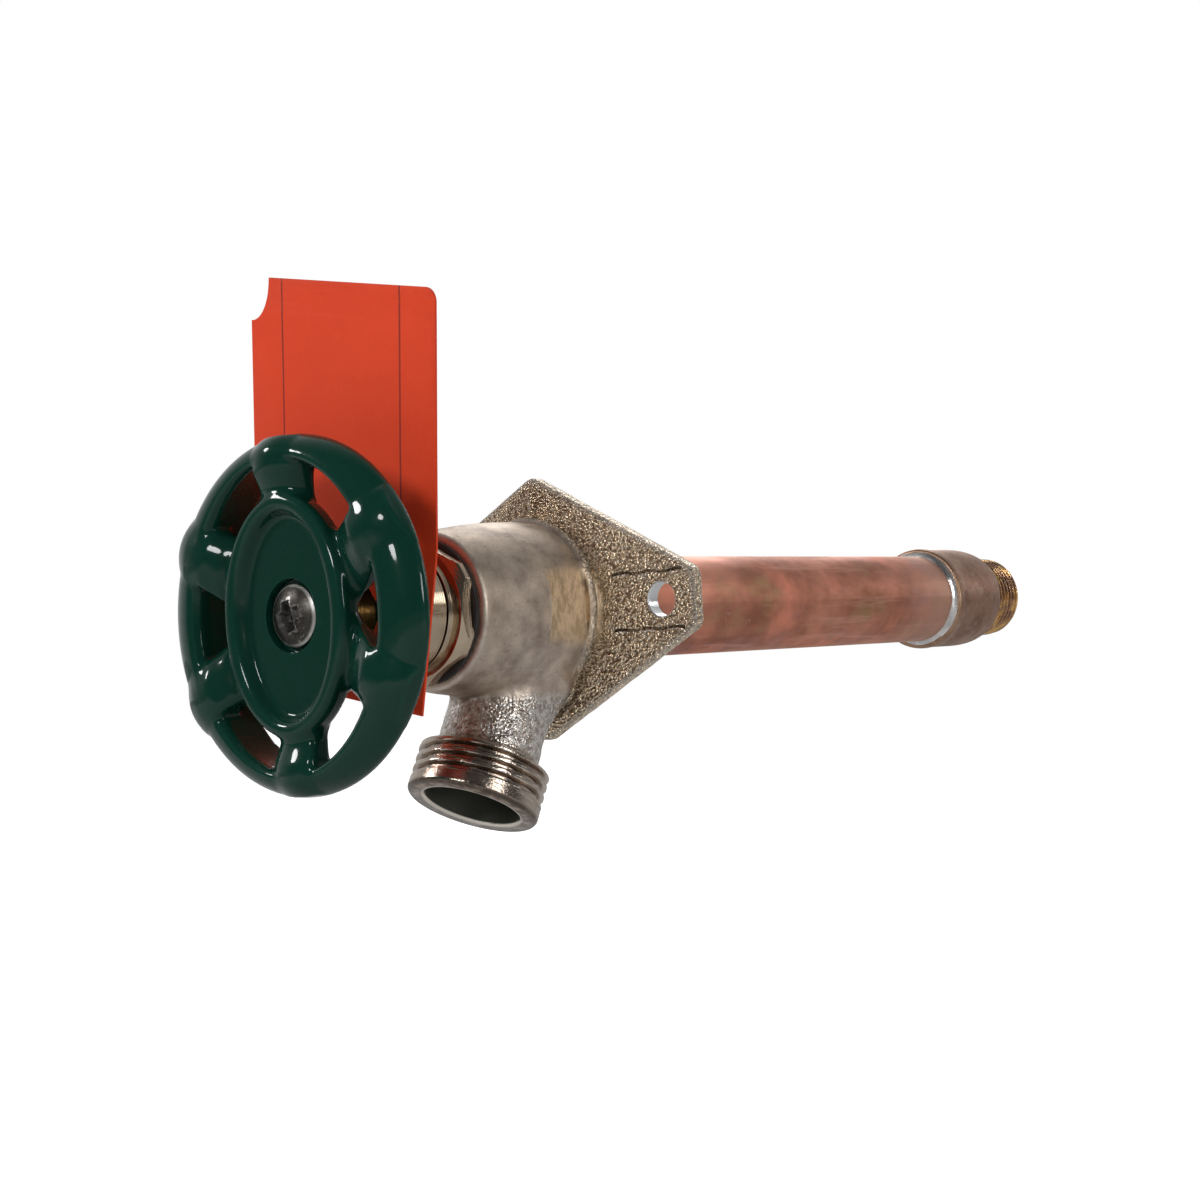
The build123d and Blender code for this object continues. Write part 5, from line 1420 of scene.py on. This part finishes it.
print("top of the card stands", round(float(bent(TAG_TOP)), 1), "mm forward")

# %% [markdown]
# ## Orange-red card
# The card is dyed through, so its cut edges are only a little darker. Close up it shows short paper fibres
# and faint grime from hands, and two fine ruled lines run along it. The lines are worked out from the
# distance across the card, and break up a little where the fibres took no ink.

# %% Finish of the card
RULES_AT = (TAG_LEFT + 9.0, TAG_RIGHT - 9.2)
card_stock, tree, shader = new_finish("orange-red card", roughness=0.7, Specular_IOR_Level=0.3)
place = put(tree, "TexCoord").outputs["Object"]
fibres = noise(tree, place, 1500.0, 4.0, 0.7, stretch=(1.0, 1.0, 0.35))
inked = fade(tree, fibres, 0.25, 0.4)
grime = use(tree, patches, Size_mm=16.0, Edge=0.25, Level=0.5)["Mask"]
edge_and_hollow = use(tree, edges, Reach=0.10, Break_up_mm=0.8)
across = put(tree, "VectorMath", {0: place, 1: Vector((math.cos(TAG_LEAN), 0, -math.sin(TAG_LEAN)))},
             operation="DOT_PRODUCT").outputs["Value"]
off_rules = [worked_out(tree, "ABSOLUTE", minus(tree, across, rule_at * MM)) for rule_at in RULES_AT]
feed(tree, shader["Base Color"], layered(
    tree, mixed(tree, grime, shade(0.68, 0.043, 0.006), shade(0.75, 0.053, 0.009)),
    (fade(tree, fibres, 0.55, 0.75), 0.25, shade(0.78, 0.12, 0.05)),
    *((times(tree, fade_mm(tree, off_rule, 0.3, 0.1), inked), 0.85, shade(0.14, 0.012, 0.010))
      for off_rule in off_rules),
    (edge_and_hollow["Edge"], 0.6, shade(0.36, 0.030, 0.012))))
feed(tree, shader["Roughness"], fade(tree, fibres, 0.3, 0.7, 0.62, 0.78))
raise_surface(tree, shader, fibres, 0.03 * MM)
finished(tag, "tag", "product_tag", card_stock, 40.0)

# %% [markdown]
# ## The copper tube
# Drawn copper comes bright, but here the whole tube has been near a torch twice. Heat leaves films of oxide
# whose colour depends on their thickness: pink, brown, olive, a little purple, and bare salmon where a cloth
# wiped it. Several stretched noises, each with its own colour, are laid over each other.

# %% Heat-tinted copper
copper, tree, shader = new_finish("heat-tinted copper", metallic=1.0)
place = put(tree, "TexCoord").outputs["Object"]
along = put(tree, "SeparateXYZ", {0: place}).outputs["Y"]
clouds = noise(tree, place, 55.0, 4.0, 0.6, stretch=(1.0, 0.55, 1.0))
films = noise(tree, place, 110.0, 4.0, 0.6, stretch=(1.0, 0.45, 1.0))
streaks = noise(tree, place, 420.0, 3.0, 0.6, stretch=(1.0, 0.06, 1.0))
wiped = use(tree, patches, Size_mm=26.0, Edge=0.07, Level=0.56)["Mask"]
scratch = use(tree, scratches, Size_mm=7.0, Share=0.35)["Mask"]
near_cup = fade_mm(tree, along, 120, 146)
near_wall = fade_mm(tree, along, 30, 6)
feed(tree, shader["Base Color"], layered(
    tree, mixed(tree, fade(tree, clouds, 0.40, 0.60), shade(0.39, 0.158, 0.097), shade(0.70, 0.305, 0.210)),
    (fade(tree, films, 0.55, 0.72), 0.7, shade(0.50, 0.340, 0.170)),
    (fade(tree, films, 0.45, 0.28), 0.6, shade(0.50, 0.240, 0.230)),
    (wiped, 0.8, shade(0.86, 0.350, 0.235)),
    (near_cup, 0.75, shade(0.64, 0.410, 0.320)),
    (times(tree, near_wall, clouds), 1.1, shade(0.42, 0.185, 0.070)),
    (fade(tree, streaks, 0.58, 0.7), 0.35, shade(0.85, 0.48, 0.37)),
    (scratch, 0.3, shade(0.78, 0.52, 0.41))))
feed(tree, shader["Roughness"], plus(tree, fade(tree, clouds, 0.3, 0.7, 0.58, 0.46),
                                     times(tree, wiped, 0.10)))
raise_surface(tree, shader, plus(tree, streaks, times(tree, films, 2.0)), 0.05 * MM)
print("finish ready:", copper.name)

# %% [markdown]
# ## Dress the pieces whose shape is already right
# Rings, rods, washers and the tube need no new shape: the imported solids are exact. They only get finishes,
# each assigned to the node's own material slot. Most are hidden inside, but the model may be cut open or
# posed one day, so each still gets the metal, rubber or plastic it is made of.

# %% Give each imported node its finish
node_finish = {
    "tube": copper,
    "front_solder": bright_solder,
    "bonnet_gasket": black_fibre,
    "vent_clip": spring_steel,
    "vent_disc": valve_rubber,
    "stem_packing": graphite,
    "packing_washer": turned_brass,
    "packing_nut": bright_nickel,
    "stem": turned_brass,
    "operating_rod": turned_brass,
    "rod_pin": spring_steel,
    "rod_guide": natural_plastic,
    "lock_washer": scuffed,
    "washer_holder": turned_brass,
    "swivel_pins": spring_steel,
    "seat_washer": valve_rubber,
    "washer_screw": turned_brass,
    "check_seat": turned_brass,
    "check_poppet": natural_plastic,
    "check_seal": valve_rubber,
    "check_guide": natural_plastic,
    "check_spring": spring_steel,
}
for name, material in node_finish.items():
    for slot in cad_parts[name].material_slots:
        slot.material = material
print("dressed", len(node_finish), "packed nodes")

# %% [markdown]
# ## Floor and backdrop
# The photograph was cut out on white, so the floor and the world are plain and pale. The world is white for
# the camera; mirrored rays see a room that is dark behind the camera and pale behind the tap, because
# polished metal only looks like metal when it has dark and light to mirror; and all else sees a dim room,
# which leaves the shading to the lamps.

# %% Floor
FLOOR_Z = -115.0
FLOOR_HALF_W = 3000.0
floor_corners = [(a * FLOOR_HALF_W, b * FLOOR_HALF_W, FLOOR_Z)
                 for a, b in ((-1, -1), (1, -1), (1, 1), (-1, 1))]
floor = mesh_object("floor", floor_corners, [(0, 1, 2, 3)])
floor_finish, tree, shader = new_finish("pale floor", roughness=0.9)
place = put(tree, "TexCoord").outputs["Object"]
feed(tree, shader["Base Color"], mixed(tree, noise(tree, place, 3.0, 2.0), shade(0.60, 0.60, 0.60),
                                       shade(0.62, 0.62, 0.62)))
seen = put(tree, "LightPath").outputs["Is Camera Ray"]
far = put(tree, "VectorMath", {0: place}, operation="LENGTH").outputs["Value"]
feed(tree, shader["Emission Strength"], times(tree, seen, fade(tree, far, 0.3, 0.9, 0.66, 1.0)))
shader["Emission Color"].default_value = shade(1, 1, 1)
floor.data.materials.append(floor_finish)
print("floor lies", -FLOOR_Z, "mm below the axis")

# %% World
world = bpy.data.worlds.new("studio")
bpy.context.scene.world = world
world.use_nodes = True
tree = world.node_tree
tree.nodes.clear()
path = put(tree, "LightPath").outputs
mirrored = worked_out(tree, "MAXIMUM", path["Is Glossy Ray"], path["Is Transmission Ray"])
toward = put(tree, "VectorMath", {0: put(tree, "TexCoord").outputs["Generated"], 1: -away},
             operation="DOT_PRODUCT").outputs["Value"]
room = times(tree, mirrored, fade(tree, toward, -0.10, 0.60, 0.07, 0.64))
plain = times(tree, minus(tree, 1.0, mirrored), 0.34)
strength = worked_out(tree, "MAXIMUM", plus(tree, room, plain), path["Is Camera Ray"])
backdrop = put(tree, "Background", {"Color": shade(1, 1, 1), "Strength": strength})
feed(tree, tree.nodes.new("ShaderNodeOutputWorld").inputs[0], backdrop.outputs[0])
print("world:", world.name)

# %% [markdown]
# ## Light
# Small lamps make small, hard highlights, which is what glossy enamel needs. Two at the upper front put
# them on the wheel, one at the right rakes over the rough casting, and two weak ones stand behind: the left
# one edges the tube, and the right one draws a bright band along the polished bonnet.

# %% Lamps
def soft_lamp(name, place, aim, size, power):
    """A round area lamp that looks at a point; places in metres, power in watts."""
    light = bpy.data.lights.new(name, "AREA")
    light.shape = "DISK"
    light.size = size
    light.energy = power
    lamp = bpy.data.objects.new(name, light)
    bpy.context.scene.collection.objects.link(lamp)
    lamp.location = place
    lamp.rotation_euler = (Vector(aim) - Vector(place)).to_track_quat("-Z", "Y").to_euler()


soft_lamp("front_lamp", (0.14, -0.95, 0.36), (0, -0.02, 0), 0.20, 3.0)
soft_lamp("left_lamp", (-0.66, -0.60, 0.46), (0, -0.02, 0), 0.20, 3.0)
soft_lamp("side_lamp", (0.95, -0.14, 0.20), (0, 0, 0), 0.28, 2.6)
soft_lamp("back_lamp", (-0.45, 0.75, 0.60), (0, 0.05, 0), 0.50, 2.0)
soft_lamp("far_lamp", (0.60, 0.78, 0.28), (0, 0, 0), 0.26, 0.5)
bpy.context.scene.view_settings.view_transform = "Standard"
